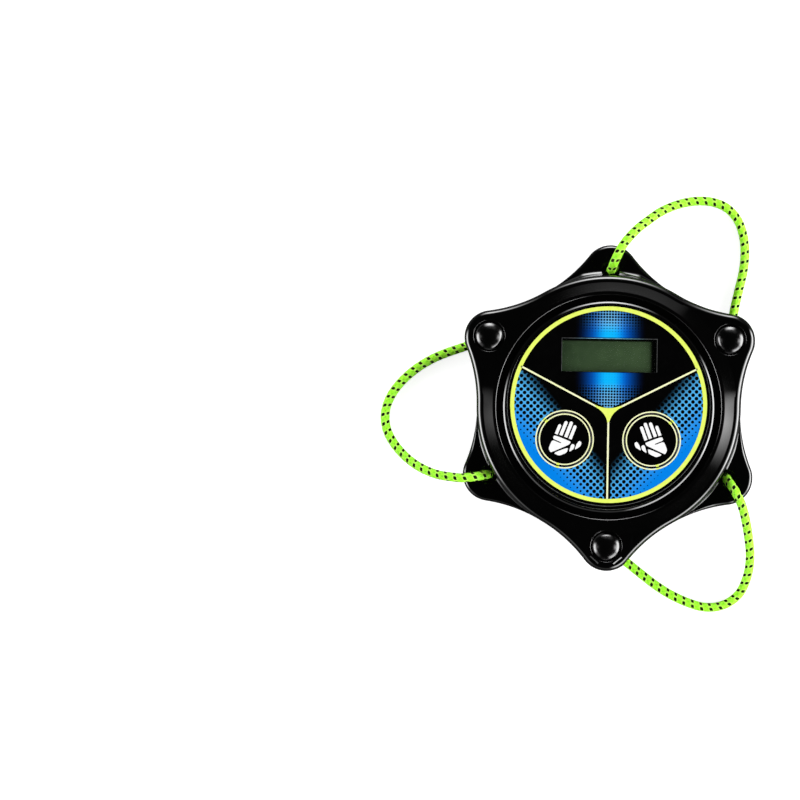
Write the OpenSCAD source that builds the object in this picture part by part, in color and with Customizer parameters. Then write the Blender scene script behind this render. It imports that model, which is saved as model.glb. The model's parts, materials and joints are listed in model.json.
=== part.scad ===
// Speed cube timer: a flat desk timer with two finger pads, a small display and
// three loops of elastic cord. Both shells have three lobes, turned by 60 degrees.
// Millimetres. The origin is on the desk under the middle of the casing, with +Z up
// and +Y towards the display.

/* [Casing] */
// Radius of the round wall of both shells
body_r = 44; // [43:0.5:50]
// How far the middle of each lobe lies outside the round wall
lobe_out = 1.5; // [1:0.25:3]
// Radius of each lobe's round end
lobe_r = 9; // [8.5:0.25:11]
// Radius of the hollow curve from a lobe to the round wall
blend_r = 50; // [40:1:60]
// Thickness of the walls and of the floor
wall = 2; // [1.8:0.1:2.4]
// Height of the lower shell, from its underside to the seam
lower_h = 8.8; // [8.6:0.1:10]
// Height of the lower shell's lobes
lower_lobe_h = 6; // [5.6:0.1:6.6]
// Height of the upper shell, from the seam to the top of its lobes
upper_h = 5.6; // [5.4:0.1:7]
// Thickness of the upper shell's top
top_t = 2.4; // [2:0.1:2.6]
// Radius of the fillet between a lower lobe and the round wall
root_fillet = 2; // [1:0.25:2.5]
// Height of the lip that locates the upper shell
lip_h = 1.5; // [1:0.1:2]
// Thickness of that lip
lip_t = 0.9; // [0.8:0.1:1.2]

/* [Face ring] */
// Radius of the round opening in the upper shell
opening_r = 37.5; // [36.5:0.25:38]
// Width of the raised ridge around the opening
ridge_w = 1; // [0.6:0.1:1.4]
// Height of that ridge above the lobes
ridge_h = 1.5; // [1:0.1:2]
// Flat left between the hollow slope and the outer edge
rim_flat = 1.2; // [0.8:0.1:1.6]
// Width of the groove between the ridge and the face
groove_w = 2.5; // [2:0.1:3]
// Depth of the face's seat below the top of the lobes
seat_drop = 0.4; // [0.2:0.1:0.8]
// Width of the ledge that carries the face
ledge_w = 3; // [2.5:0.1:3.5]
// Thickness of the face's plate
plate_t = 1.8; // [1.8:0.1:2.4]
// Height of the bead around the printed label
bead_h = 0.6; // [0.5:0.1:1]
// Width of that bead
bead_w = 1.1; // [0.8:0.1:1.4]
// Thickness of the printed label
label_t = 0.3; // [0.2:0.05:0.4]
// How far the printed layout sits above the middle of the face
layout_up = 0.8; // [0:0.1:1]

/* [Display] */
// Width of the display window
window_w = 31.5; // [28:0.5:32]
// Height of the display window
window_h = 11; // [9:0.5:11.5]
// Height of the window's middle above the layout's middle
window_up = 16.4; // [15.5:0.1:16.5]
// Thickness of the clear window
lens_t = 0.7; // [0.5:0.1:0.8]
// Thickness of each of the display's two sheets of glass
glass_t = 0.9; // [0.7:0.1:1]
// Depth of the pocket in the plate that the glass sits in
glass_pocket = 0.6; // [0.4:0.1:0.7]
// Thickness of the reflector behind the glass
reflector_t = 0.3; // [0.2:0.1:0.4]
// Wall of the frame around the glass
frame_wall = 0.9; // [0.7:0.1:0.9]

/* [Finger pads] */
// Radius of each finger pad
pad_r = 9; // [8:0.25:9.25]
// Distance of each pad's middle from the layout's centre line
pad_side = 14.45; // [13.9:0.1:15]
// Distance of each pad's middle below the layout's middle
pad_down = 11.75; // [11:0.1:12.5]
// Distance that a pad travels when pressed
pad_travel = 0.5; // [0.3:0.1:0.7]
// Thickness of a pad's top and of its side wall
pad_wall = 1.2; // [1:0.1:1.6]
// Width of the flange that keeps a pad in
flange_w = 1.2; // [1:0.1:1.4]
// Thickness of that flange
flange_t = 0.9; // [0.7:0.1:1]

/* [Circuit board] */
// Distance from the face's seat down to the board
board_drop = 4.4; // [4.4:0.1:5]
// Thickness of the board
board_t = 1.2; // [1:0.1:1.3]
// Side of each square switch
switch_w = 6; // [5:0.25:7]
// Height of each switch's base
switch_h = 2.2; // [2:0.1:2.4]
// Radius of each switch's plunger
plunger_r = 1.75; // [1.25:0.05:2]
// Radius of the buzzer
buzzer_r = 4.5; // [4:0.25:5]
// Height of the buzzer
buzzer_h = 3.5; // [2.5:0.1:3.8]

/* [Battery] */
// Radius of the coin cell
cell_r = 10; // [9:0.25:10.5]
// Thickness of the coin cell
cell_t = 3.2; // [2.5:0.1:3.2]
// Thickness of the cover's disc
cover_t = 1.2; // [1.1:0.05:1.3]
// Width of the cover's disc beyond the cell's hole
cover_lap = 2; // [1.6:0.1:2.4]
// Radial reach of the cover's locking tabs
tab_reach = 1.3; // [1:0.1:1.5]
// Thickness of the locking tabs
tab_t = 1; // [0.8:0.1:1.1]
// Angle that each locking tab covers
tab_deg = 22; // [16:1:24]
// Angle that the cover turns to unlock
cover_turn = 45; // [40:1:50]

/* [Cords] */
// Diameter of the elastic cord
cord_d = 3; // [2.5:0.1:3]
// Radius of the knots
knot_r = 3.2; // [2.8:0.1:3.3]
// Height of the knots
knot_h = 3; // [2.6:0.1:3]
// How far each cord hole lies outside the round wall
hole_out = 2; // [1.8:0.1:2.5]
// Radius of the flared mouth of each cord hole
mouth_r = 3.15; // [2.5:0.05:3.3]
// How far each dome lies outside the round wall
dome_out = 2.3; // [2:0.1:3.2]
// Radius of each dome cap
dome_r = 4.75; // [4.25:0.05:5]
// Height of each dome cap above its recess
dome_h = 2; // [1.6:0.1:3]
// Width of the ring-shaped gap around each dome
dome_ring = 0.7; // [0.4:0.1:0.9]
// Depth of the recess that each dome sits in
dome_recess = 0.8; // [0.5:0.1:1]

/* [Feet and screws] */
// How far the feet stand proud of the underside
foot_proud = 0.8; // [0.6:0.1:1.2]
// Depth of the recess that each foot is glued into
foot_recess = 0.8; // [0.5:0.1:1]
// Radius of each foot
foot_r = 4; // [3:0.25:5]
// Distance of each foot's middle inside the round wall
foot_inset = 11; // [10:0.5:13]
// Distance of each case screw inside the round wall
screw_inset = 7; // [6.5:0.1:7.5]
// Radius of the case screws' shanks
screw_r = 1.05; // [0.9:0.05:1.25]
// Radius of the case screws' heads
screw_head_r = 2.2; // [2:0.05:2.4]
// Height of the case screws' heads
screw_head_h = 1.6; // [1.4:0.1:1.8]
// Radius of the posts that the case screws run in
post_r = 3.2; // [2.9:0.1:3.4]
// Radius of the board screws' shanks
board_screw_r = 0.9; // [0.8:0.05:1]
// Radius of the board screws' heads
board_head_r = 1.9; // [1.6:0.1:2.1]
// Height of the board screws' heads
board_head_h = 1.1; // [0.8:0.1:1.2]

/* [Clearances] */
// Radial gap around pieces that turn or slide
run_gap = 0.25; // [0.2:0.05:0.3]
// Gap between pieces that are placed and glued or screwed
fit_gap = 0.1; // [0.05:0.05:0.2]
// Gap around a screw's shank in the thread that it cuts
thread_gap = 0.05; // [0.03:0.01:0.08]

/* [Hidden] */
$fn = 96;
eps = 0.5;
LOBES = [0, 120, 240];
LOWER_TURN = 90;
UPPER_TURN = 30;

// Heights of the main faces
z_under = foot_proud;
z_floor = z_under + wall;
z_lobe = z_under + lower_lobe_h;
z_seam = z_under + lower_h;
z_top = z_seam + upper_h;
z_ceiling = z_top - top_t;
z_seat = z_top - seat_drop;
z_plate = z_seat + plate_t;
z_label = z_plate + label_t;
z_board = z_seat - board_drop;
z_board_under = z_board - board_t;

// Lobed outline
lobe_at = body_r + lobe_out;
blend_at = body_r + blend_r;
lobe_to_blend = lobe_r + blend_r;
blend_turn = acos((pow(blend_at, 2) + pow(lobe_at, 2) - pow(lobe_to_blend, 2)) / (2 * blend_at * lobe_at));
blend_x = blend_at * cos(blend_turn);
blend_y = blend_at * sin(blend_turn);
tip_turn = atan2(blend_y, blend_x - lobe_at);
ARC_STEPS = 8;

// Points of an arc around c from angle a to angle b, without the last one
function arc(c, r, a, b, n) = [for (i = [0 : n - 1])
    let (t = a + (b - a) * i / n) [c[0] + r * cos(t), c[1] + r * sin(t)]];
function turned(p, a) = [p[0] * cos(a) - p[1] * sin(a), p[0] * sin(a) + p[1] * cos(a)];

// One third of the outline, from the hollow before a lobe on +X to the wall after it
function third(inset) = concat(
    arc([blend_x, -blend_y], blend_r + inset, 180 - blend_turn, 180 - tip_turn, ARC_STEPS),
    arc([lobe_at, 0], lobe_r - inset, -tip_turn, tip_turn, 2 * ARC_STEPS),
    arc([blend_x, blend_y], blend_r + inset, 180 + tip_turn, 180 + blend_turn, ARC_STEPS),
    arc([0, 0], body_r - inset, blend_turn, 120 - blend_turn, ARC_STEPS));

module lobed(turn, inset = 0) {
    polygon([for (a = LOBES) for (p = third(inset)) turned(p, a + turn)]);
}

// The round wall, with its corners where the lobed outline has them between the lobes
module round_wall(turn) {
    polygon([for (a = LOBES)
        for (p = concat(arc([0, 0], body_r, -blend_turn, blend_turn, 2 * ARC_STEPS),
            arc([0, 0], body_r, blend_turn, 120 - blend_turn, ARC_STEPS))) turned(p, a + turn)]);
}

// Places its children on the three lobe axes of one shell, at distance d
module on_lobes(turn, d) {
    for (a = LOBES) rotate(a + turn) translate([d, 0, 0]) children();
}

module wedge(r, half) {
    polygon([[0, 0], [r * cos(half), -r * sin(half)], [r / cos(half), 0], [r * cos(half), r * sin(half)]]);
}

module tube(z, h, r_out, r_in) {
    translate([0, 0, z]) difference() {
        cylinder(h = h, r = r_out);
        translate([0, 0, -eps]) cylinder(h = h + 2 * eps, r = r_in);
    }
}

module cross_recess(r) {
    for (a = [0, 90]) rotate(a) cube([1.1 * r, r * 0.3, 1.1 * r], center = true);
}

// Pan-head screw, head down: the head's seat is at z = 0 and the shank goes up
module screw(head_r, head_h, shank_r, shank_l) {
    difference() {
        union() {
            translate([0, 0, -head_h]) cylinder(h = head_h, r = head_r);
            translate([0, 0, -eps]) cylinder(h = shank_l + eps, r = shank_r);
        }
        translate([0, 0, -head_h]) cross_recess(head_r);
    }
}

// ---- Cord holes, pockets and domes
cord_r = cord_d / 2;
cord_bore_r = cord_r + 2 * fit_gap;
pocket_r = knot_r + 3 * fit_gap;
pocket_skin = 0.5;
hole_at = body_r + hole_out;
dome_at = body_r + dome_out;
z_low_knot = z_under + pocket_skin + knot_h;
z_high_knot = z_top - dome_recess - knot_h - 0.5;
flare_h = mouth_r - cord_bore_r;
knot_boss_r = pocket_r + 1.7;

module cord_hole() {
    translate([0, 0, z_under - eps]) cylinder(h = z_low_knot - z_under + eps, r = pocket_r);
    translate([0, 0, z_low_knot - eps]) cylinder(h = lower_lobe_h, r = cord_bore_r);
}

// Cone and clear space above it, kept outside the round wall
module cord_mouth() {
    difference() {
        on_lobes(LOWER_TURN, hole_at) {
            translate([0, 0, z_lobe - flare_h]) cylinder(h = flare_h, r1 = cord_bore_r, r2 = mouth_r);
            translate([0, 0, z_lobe]) cylinder(h = root_fillet + eps, r = mouth_r);
        }
        translate([0, 0, z_under]) linear_extrude(lower_h + eps) round_wall(LOWER_TURN);
    }
}

// ---- Case screws
screw_at = body_r - screw_inset;
z_post = z_seam - 0.6;
z_screw_seat = z_floor + 1;
screw_l = z_ceiling - z_screw_seat - 1;

// ---- Battery cover and compartment
cell_hole_r = cell_r + 2 * run_gap;
cover_r = cell_hole_r + cover_lap;
hub_r = cell_hole_r - run_gap;
tab_r = hub_r + tab_reach;
slot_r = tab_r + run_gap;
z_lip = z_under + cover_t;
z_tab = z_floor + fit_gap;
z_slot = z_tab + tab_t + fit_gap;
z_cell = z_slot;
z_cell_top = z_cell + cell_t;
ring_r = slot_r + 1.4;
z_ring = z_board_under - 0.6;
slot_slack = 2;
notch_slack = 1.5;

// Three pockets out to radius r, between two angles from each tab's locked place
module tab_pockets(r, z, h, from, to) {
    translate([0, 0, z]) linear_extrude(h) intersection() {
        circle(r);
        for (a = LOBES) rotate(a + (from + to) / 2) wedge(2 * r, (to - from) / 2);
    }
}

module battery_compartment_cuts() {
    translate([0, 0, z_under - eps]) cylinder(h = cover_t + eps, r = cover_r + run_gap);
    translate([0, 0, z_under]) cylinder(h = z_ring, r = cell_hole_r);
    tab_pockets(slot_r, z_floor, z_slot - z_floor,
        -cover_turn - tab_deg / 2 - slot_slack, tab_deg / 2 + slot_slack);
    tab_pockets(slot_r - 0.05, z_under, wall + eps,
        -cover_turn - tab_deg / 2 - notch_slack, -cover_turn + tab_deg / 2 + notch_slack);
    translate([cell_r, -3, z_slot + 0.6]) cube([1.6, 6, z_ring]);
}

// ---- Shells
lip_r = body_r - wall - fit_gap;

// Hollow fillets at the lobes' roots, sunk a little into the lobe and the wall
module root_fillets() {
    steps = 6;
    sink = 0.1;
    mid_r = body_r + root_fillet - sink;
    mid_z = z_lobe + root_fillet - sink;
    intersection() {
        rotate_extrude() polygon(concat(
            [[body_r - 0.5, mid_z], [body_r - 0.5, z_lobe - 0.6], [mid_r, z_lobe - 0.6]],
            [for (i = [0 : steps]) let (t = 270 - 90 * i / steps)
                [mid_r + root_fillet * cos(t), mid_z + root_fillet * sin(t)]]));
        translate([0, 0, z_under]) linear_extrude(lower_h) intersection() {
            lobed(LOWER_TURN, fit_gap);
            for (a = LOBES) rotate(a + LOWER_TURN) wedge(2 * body_r, blend_turn - 4);
        }
    }
}

module lower_shell() {
    color("#141416") difference() {
        union() {
            difference() {
                union() {
                    translate([0, 0, z_under]) linear_extrude(lower_lobe_h) lobed(LOWER_TURN);
                    translate([0, 0, z_lobe]) linear_extrude(z_seam - z_lobe) round_wall(LOWER_TURN);
                    root_fillets();
                }
                difference() {
                    translate([0, 0, z_floor]) cylinder(h = lower_h, r = body_r - wall);
                    translate([0, 0, z_under])
                        on_lobes(LOWER_TURN, hole_at) cylinder(h = lower_lobe_h, r = knot_boss_r);
                }
                cord_mouth();
            }
            rotate_extrude() polygon([[lip_r - lip_t, z_seam - 2], [lip_r + eps, z_seam - 2],
                [lip_r + eps, z_seam], [lip_r, z_seam], [lip_r, z_seam + lip_h],
                [lip_r - lip_t, z_seam + lip_h]]);
            on_lobes(UPPER_TURN, screw_at)
                translate([0, 0, z_under + 1]) cylinder(h = z_post - z_under - 1, r = post_r);
            translate([0, 0, z_under + 1]) cylinder(h = z_ring - z_under - 1, r = ring_r);
        }
        battery_compartment_cuts();
        on_lobes(LOWER_TURN, hole_at) cord_hole();
        on_lobes(UPPER_TURN, screw_at) {
            translate([0, 0, z_under - eps])
                cylinder(h = z_screw_seat - z_under + eps, r = screw_head_r + 3 * fit_gap);
            translate([0, 0, z_under]) cylinder(h = lower_h, r = screw_r + 3 * fit_gap);
        }
        on_lobes(LOWER_TURN, body_r - foot_inset)
            translate([0, 0, z_under - eps]) cylinder(h = foot_recess + eps, r = foot_r + fit_gap);
    }
}

// Hollow slope from the ridge down to the flat rim, as a row of short cones
slope_in = opening_r + ridge_w;
slope_out = body_r - rim_flat;
slope_w = slope_out - slope_in;
slope_r = (pow(slope_w, 2) + pow(ridge_h, 2)) / (2 * ridge_h);
SLOPE_STEPS = 8;

module ridge() {
    rotate_extrude() polygon(concat(
        [[opening_r - 1, z_top - 1], [opening_r - 1, z_top + ridge_h - 0.3],
         [opening_r, z_top + ridge_h - 0.3], [opening_r + 0.3, z_top + ridge_h]],
        [for (i = [0 : SLOPE_STEPS]) let (x = slope_w * (1 - i / SLOPE_STEPS))
            [slope_out - x, z_top + slope_r - sqrt(pow(slope_r, 2) - pow(x, 2))]],
        [[slope_out, z_top - 1]]));
}

ledge_in = opening_r - groove_w - ledge_w;

module upper_shell() {
    color("#141416") difference() {
        union() {
            difference() {
                union() {
                    translate([0, 0, z_seam]) linear_extrude(upper_h) lobed(UPPER_TURN);
                    ridge();
                }
                translate([0, 0, z_seam - eps]) cylinder(h = z_ceiling - z_seam + eps, r = body_r - wall);
            }
            on_lobes(UPPER_TURN, screw_at)
                translate([0, 0, z_post]) cylinder(h = z_ceiling - z_post + 1, r = post_r);
        }
        translate([0, 0, z_seat]) cylinder(h = upper_h, r = opening_r);
        translate([0, 0, z_ceiling - eps]) cylinder(h = upper_h, r = ledge_in);
        on_lobes(UPPER_TURN, screw_at)
            translate([0, 0, z_post - eps]) cylinder(h = z_screw_seat + screw_l + eps + 0.2 - z_post, r = screw_r + thread_gap);
        on_lobes(UPPER_TURN, dome_at) {
            translate([0, 0, z_seam - eps]) cylinder(h = upper_h, r = cord_bore_r);
            translate([0, 0, z_high_knot]) cylinder(h = upper_h, r = pocket_r);
            translate([0, 0, z_top - dome_recess]) cylinder(h = 2, r = dome_r + dome_ring);
        }
    }
}

// ---- Face
bezel_r = opening_r - groove_w;
label_r = bezel_r - bead_w - 2 * fit_gap;
skirt_r = ledge_in - 2 * fit_gap;
window_y = layout_up + window_up;
pad_y = layout_up - pad_down;
pad_hole_r = pad_r + run_gap;
lens_lap = 1;
glass_side = 1.25;
glass_shelf = 3.5;
glass_w = window_w + 2 * glass_side;
glass_y0 = window_y - window_h / 2 - glass_shelf;
glass_y1 = window_y + window_h / 2 + 1.1;
boss_r = board_screw_r + 1.3;

module on_pads() {
    for (side = [-1, 1]) translate([side * pad_side, pad_y, 0]) children();
}

// The four board screws: two beside the display and two under the pads
board_r = screw_at - post_r - 0.8;
boss_inset = 5.8;
SIDE_SCREW = [skirt_r - boss_inset, 3];
LOW_SCREW = [9, boss_inset - skirt_r];
BOARD_SCREWS = [SIDE_SCREW, LOW_SCREW];

module on_board_screws() {
    for (side = [-1, 1]) for (p = BOARD_SCREWS) translate([side * p[0], p[1], 0]) children();
}

module slab(w, y0, y1, z0, z1) {
    translate([-w / 2, y0, z0]) cube([w, y1 - y0, z1 - z0]);
}

module window_hole(grow, z0, z1) {
    slab(window_w + 2 * grow, window_y - window_h / 2 - grow, window_y + window_h / 2 + grow, z0, z1);
}

module face_bezel() {
    bead_out = 0.3;
    color("#0f0f11") difference() {
        union() {
            rotate_extrude() polygon([
                [0, z_seat], [skirt_r - 0.9, z_seat], [skirt_r - 0.9, z_ceiling + 0.2],
                [skirt_r, z_ceiling + 0.2], [skirt_r, z_seat], [bezel_r, z_seat],
                [bezel_r, z_plate + bead_h - bead_out], [bezel_r - bead_out, z_plate + bead_h],
                [bezel_r - bead_w + bead_out, z_plate + bead_h],
                [bezel_r - bead_w, z_plate + bead_h - bead_out],
                [bezel_r - bead_w, z_plate], [0, z_plate]]);
            on_board_screws() translate([0, 0, z_board]) cylinder(h = z_seat - z_board + eps, r = boss_r);
        }
        window_hole(0, z_seat - eps, z_plate + eps);
        window_hole(lens_lap, z_plate - lens_t, z_plate + eps);
        slab(glass_w + 4 * fit_gap, glass_y0 - 2 * fit_gap, glass_y1 + 2 * fit_gap,
            z_seat - eps, z_seat + glass_pocket);
        on_pads() translate([0, 0, z_seat - eps]) cylinder(h = plate_t + 2 * eps, r = pad_hole_r);
        on_board_screws() translate([0, 0, z_board - eps])
            cylinder(h = board_drop + eps + 0.5, r = board_screw_r + thread_gap);
    }
}

module face_label() {
    color("#0a3f8c") difference() {
        translate([0, 0, z_plate]) cylinder(h = label_t, r = label_r);
        window_hole(0, z_plate - eps, z_label + eps);
        on_pads() translate([0, 0, z_plate - eps]) cylinder(h = label_t + 2 * eps, r = pad_hole_r);
    }
}

module window_lens() {
    color([0.8, 0.85, 0.85, 0.4]) window_hole(lens_lap - fit_gap, z_plate - lens_t, z_plate);
}

// ---- Display
z_glass = z_seat + glass_pocket;
z_glass_mid = z_glass - glass_t;
z_glass_low = z_glass_mid - glass_t;
z_reflector = z_glass_low - reflector_t;
lower_glass_y0 = glass_y0 + 3;
zebra_y0 = glass_y0 + 0.3;
zebra_y1 = lower_glass_y0 - 0.7;

module lcd_glass() {
    color("#34442d") union() {
        slab(glass_w, glass_y0, glass_y1, z_glass_mid, z_glass);
        slab(glass_w, lower_glass_y0, glass_y1, z_glass_low, z_glass_mid + 0.1);
    }
}

module lcd_reflector() {
    color("#8f9a86") slab(glass_w, lower_glass_y0, glass_y1, z_reflector, z_glass_low);
}

module lcd_frame() {
    play = fit_gap;
    color("#202024") difference() {
        slab(glass_w + 2 * (play + frame_wall), glass_y0 - play - frame_wall, glass_y1 + play + frame_wall,
            z_board, z_seat);
        slab(glass_w + 2 * play, glass_y0 - play, glass_y1 + play, z_reflector, z_seat + eps);
        slab(glass_w + 2 * play, glass_y0 - play, glass_y1 + play, z_board - eps, z_reflector - 0.8);
        slab(glass_w - 1, zebra_y0 - 0.2, zebra_y1 + 0.2, z_board, z_seat);
    }
}

module zebra_strip() {
    color("#c9c4b8") slab(glass_w - 2, zebra_y0, zebra_y1, z_board, z_glass_mid);
}

// ---- Finger pads and their switches
z_flange = z_seat - run_gap;
z_pad_under = z_flange - flange_t;
z_plunger = z_board + 0.5 + pad_travel + 0.2;
bore_gap = 0.1;

module pad(side) {
    color("#101012") translate([side * pad_side, pad_y, 0]) difference() {
        union() {
            translate([0, 0, z_pad_under]) cylinder(h = z_label - z_pad_under, r = pad_r);
            translate([0, 0, z_pad_under]) cylinder(h = flange_t, r = pad_r + flange_w);
        }
        tube(z_pad_under - eps, z_label - pad_wall - z_pad_under + eps, pad_r - pad_wall, plunger_r + 0.75);
    }
}

module switch_base(side) {
    color("#2b2b30") translate([side * pad_side, pad_y, 0]) difference() {
        translate([-switch_w / 2, -switch_w / 2, z_board]) cube([switch_w, switch_w, switch_h]);
        translate([0, 0, z_board + 0.5]) cylinder(h = switch_h, r = plunger_r + bore_gap);
    }
}

module switch_plunger(side) {
    color("#d8d8d2") translate([side * pad_side, pad_y, z_plunger])
        cylinder(h = z_pad_under - z_plunger, r = plunger_r);
}

// ---- Board and what is soldered on it
module main_board() {
    color("#1f6b3a") difference() {
        translate([0, 0, z_board_under]) cylinder(h = board_t, r = board_r);
        on_board_screws() translate([0, 0, z_board_under - eps])
            cylinder(h = board_t + 2 * eps, r = board_screw_r + 2 * fit_gap);
    }
}

BLOB = [0, 1.5];
blob_r = 4.5;
blob_h = 1.4;
blob_sphere = (pow(blob_r, 2) + pow(blob_h, 2)) / (2 * blob_h);

module controller_blob() {
    color("#08080a") translate([BLOB[0], BLOB[1], z_board]) intersection() {
        translate([0, 0, blob_h - blob_sphere]) sphere(r = blob_sphere);
        cylinder(h = blob_h + 1, r = blob_r + 1);
    }
}

// Middles of the small chips, each a ceramic body between two metal ends
CHIPS = [[-8, 4], [-8, 1.5], [-11, 4], [7.5, -1.5], [-26, -4], [26, -4], [-5, -16], [5, -16]];

module board_components() {
    for (p = CHIPS) translate([p[0], p[1], z_board]) {
        color("#7a5a3a") translate([-0.6, -0.6, 0]) cube([1.2, 1.2, 0.6]);
        for (side = [-1, 1])
            color("#c8c8c8") translate([side * 0.8 - 0.25, -0.65, 0]) cube([0.5, 1.3, 0.65]);
    }
}

module crystal() {
    color("#b9bcc0") translate([7, 4, z_board + 1]) rotate([0, 90, 0]) union() {
        cylinder(h = 6, r = 1);
        for (side = [-1, 1]) translate([0.75, side * 0.45, -1.2]) cylinder(h = 1.5, r = 0.2);
    }
}

buzzer_y = boss_inset + 2 - skirt_r;

module buzzer() {
    color("#17171a") difference() {
        translate([0, buzzer_y, z_board]) cylinder(h = buzzer_h, r = buzzer_r);
        translate([0, buzzer_y, z_board + buzzer_h - 0.8]) cylinder(h = 2, r = 1);
    }
}

// ---- Battery and its contacts
module coin_cell() {
    step = 0.4;
    color("#c9ccd0") union() {
        translate([0, 0, z_cell]) cylinder(h = cell_t - step, r = cell_r);
        translate([0, 0, z_cell]) cylinder(h = cell_t, r = cell_r - 1.2);
    }
}

strip_t = 0.25;

// Leaf that is soldered under the board and presses on the middle of the cell
module minus_contact() {
    color("#d6c08a") rotate([90, 0, 0]) translate([0, 0, -2]) linear_extrude(4) polygon([
        [-6, z_board_under], [-6, z_board_under - strip_t], [-2.2, z_board_under - strip_t],
        [3, z_cell_top + fit_gap / 2], [4.5, z_cell_top + fit_gap / 2],
        [4.5, z_cell_top + fit_gap / 2 + strip_t], [3.1, z_cell_top + fit_gap / 2 + strip_t],
        [-2, z_board_under]]);
}

// Angle strip that hangs from the board and bears on the cell's side
module plus_contact() {
    x = cell_r + fit_gap / 2;
    color("#d6c08a") translate([0, -2, 0]) union() {
        translate([x, 0, z_cell + 1]) cube([strip_t, 4, z_board_under - z_cell - 1]);
        translate([x, 0, z_board_under - strip_t]) cube([3.5, 4, strip_t]);
    }
}

coin_slot = [14, 1.8, 0.7];

module battery_cover() {
    color("#18181a") difference() {
        union() {
            translate([0, 0, z_under]) cylinder(h = cover_t, r = cover_r);
            tube(z_lip - 0.2, z_cell - fit_gap - z_lip + 0.2, hub_r, hub_r - 1.6);
            intersection() {
                tube(z_tab, tab_t, tab_r, hub_r - 1);
                translate([0, 0, z_tab - eps]) linear_extrude(tab_t + 2 * eps)
                    for (a = LOBES) rotate(a) wedge(2 * tab_r, tab_deg / 2);
            }
        }
        translate([0, 0, z_under]) cube([coin_slot[0], coin_slot[1], 2 * coin_slot[2]], center = true);
    }
}

// ---- Fasteners and feet
module case_screws() {
    color("#9a9da3") on_lobes(UPPER_TURN, screw_at) translate([0, 0, z_screw_seat])
        screw(screw_head_r, screw_head_h, screw_r, screw_l);
}

module board_screws() {
    color("#9a9da3") on_board_screws() translate([0, 0, z_board_under])
        screw(board_head_r, board_head_h, board_screw_r, board_t + board_drop - 0.2);
}

module foot(turn) {
    round = 0.3;
    color("#26262a") rotate(turn) translate([body_r - foot_inset, 0, 0])
        rotate_extrude() polygon([[0, 0], [foot_r - round, 0], [foot_r, round],
            [foot_r, z_under + foot_recess], [0, z_under + foot_recess]]);
}

// ---- Domes, knots and cords
module dome_cap(turn) {
    z = z_top - dome_recess;
    sphere_r = (pow(dome_r, 2) + pow(dome_h, 2)) / (2 * dome_h);
    color("#101012") rotate(turn) translate([dome_at, 0, 0]) union() {
        intersection() {
            translate([0, 0, z + dome_h - sphere_r]) sphere(r = sphere_r);
            translate([0, 0, z]) cylinder(h = dome_h + 1, r = dome_r + 1);
        }
        translate([0, 0, z - 0.4]) cylinder(h = 0.6, r = pocket_r - fit_gap);
    }
}

// A pulled-tight knot, flat where it bears on the floor of its pocket
module knot(turn, d, z, up) {
    n = 8;
    color("#5cc81e") rotate(turn) translate([d, 0, z]) mirror([0, 0, up ? 0 : 1])
        rotate_extrude() polygon(concat([[0, 0]],
            [for (i = [0 : n]) let (t = -50 + 130 * i / n)
                [knot_r * cos(t), knot_h * (sin(t) + sin(50)) / (sin(80) + sin(50))]],
            [[0, knot_h]]));
}

// Routes of the three cords, each seen with its own cord hole on +Y: up and over the
// lobe, down to the desk, round, and up into the neighbouring upper lobe
TOP_ROUTE = [[0.5, 46.8, 8.2], [1.2, 48.8, 10.2], [2.4, 51.4, 11.2], [4, 54.4, 11.1], [6.4, 57.5, 10.2],
    [9.2, 60.4, 8.8], [12.4, 63, 7.1], [16, 65.7, 5.2], [20.3, 67.9, 3.5], [25, 69.4, 2.2],
    [30, 70, 1.6], [34.8, 69.4, 1.5], [39, 67.4, 1.5], [42.3, 63.6, 1.5], [44.2, 58.4, 1.5],
    [44.8, 52.5, 1.5], [44.3, 46.5, 1.5], [43, 40.5, 1.5], [41.7, 34.5, 1.5], [40.9, 29.3, 1.5],
    [40.6, 26.3, 2.3], [40.5, 24.1, 4.5]];
LEFT_ROUTE = [[0.4, 46.8, 8.2], [1, 48.9, 10.2], [2, 51.5, 11.2], [3.4, 54.5, 11.1], [5.5, 57.5, 10.2],
    [8, 60.6, 8.8], [11.2, 63.4, 7.1], [15, 65.8, 5.2], [19.5, 67.6, 3.5], [24.3, 68.6, 2.2],
    [29.2, 68.6, 1.6], [33.6, 67.1, 1.5], [37.2, 64.3, 1.5], [40, 60.2, 1.5], [41.9, 55.2, 1.5],
    [43, 49.5, 1.5], [43.2, 44, 1.5], [42.7, 38.8, 1.5], [41.8, 33.8, 1.5], [41, 29.3, 1.5],
    [40.7, 26.3, 2.3], [40.5, 24.1, 4.5]];
RIGHT_ROUTE = [[0.5, 46.8, 8.2], [1.4, 48.8, 10.2], [2.8, 51.3, 11.2], [4.7, 54.2, 11.1], [7.2, 57, 10.2],
    [10.2, 59.8, 8.8], [13.4, 62.5, 7.1], [17.1, 65.3, 5.2], [21.3, 67.6, 3.5], [25.8, 69, 2.2],
    [30.5, 69.4, 1.6], [34.9, 68, 1.5], [38.5, 65.1, 1.5], [41, 60.9, 1.5], [42.3, 55.6, 1.5],
    [42.9, 50, 1.5], [42.8, 44.4, 1.5], [42.2, 39, 1.5], [41.5, 33.9, 1.5], [40.9, 29.3, 1.5],
    [40.6, 26.3, 2.3], [40.5, 24.1, 4.5]];
CORD_SIDES = 8;
dome_x = dome_at * cos(UPPER_TURN);
dome_y = dome_at * sin(UPPER_TURN);

// The whole route, from the knot in the lower lobe to the knot in the upper one
function route(middle) = concat(
    [[0, hole_at, z_low_knot], [0, hole_at, z_low_knot + 1.5]], middle,
    [[dome_x, dome_y, z_high_knot - 3.2], [dome_x, dome_y, z_high_knot]]);
function unit(v) = v / norm(v);

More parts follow.
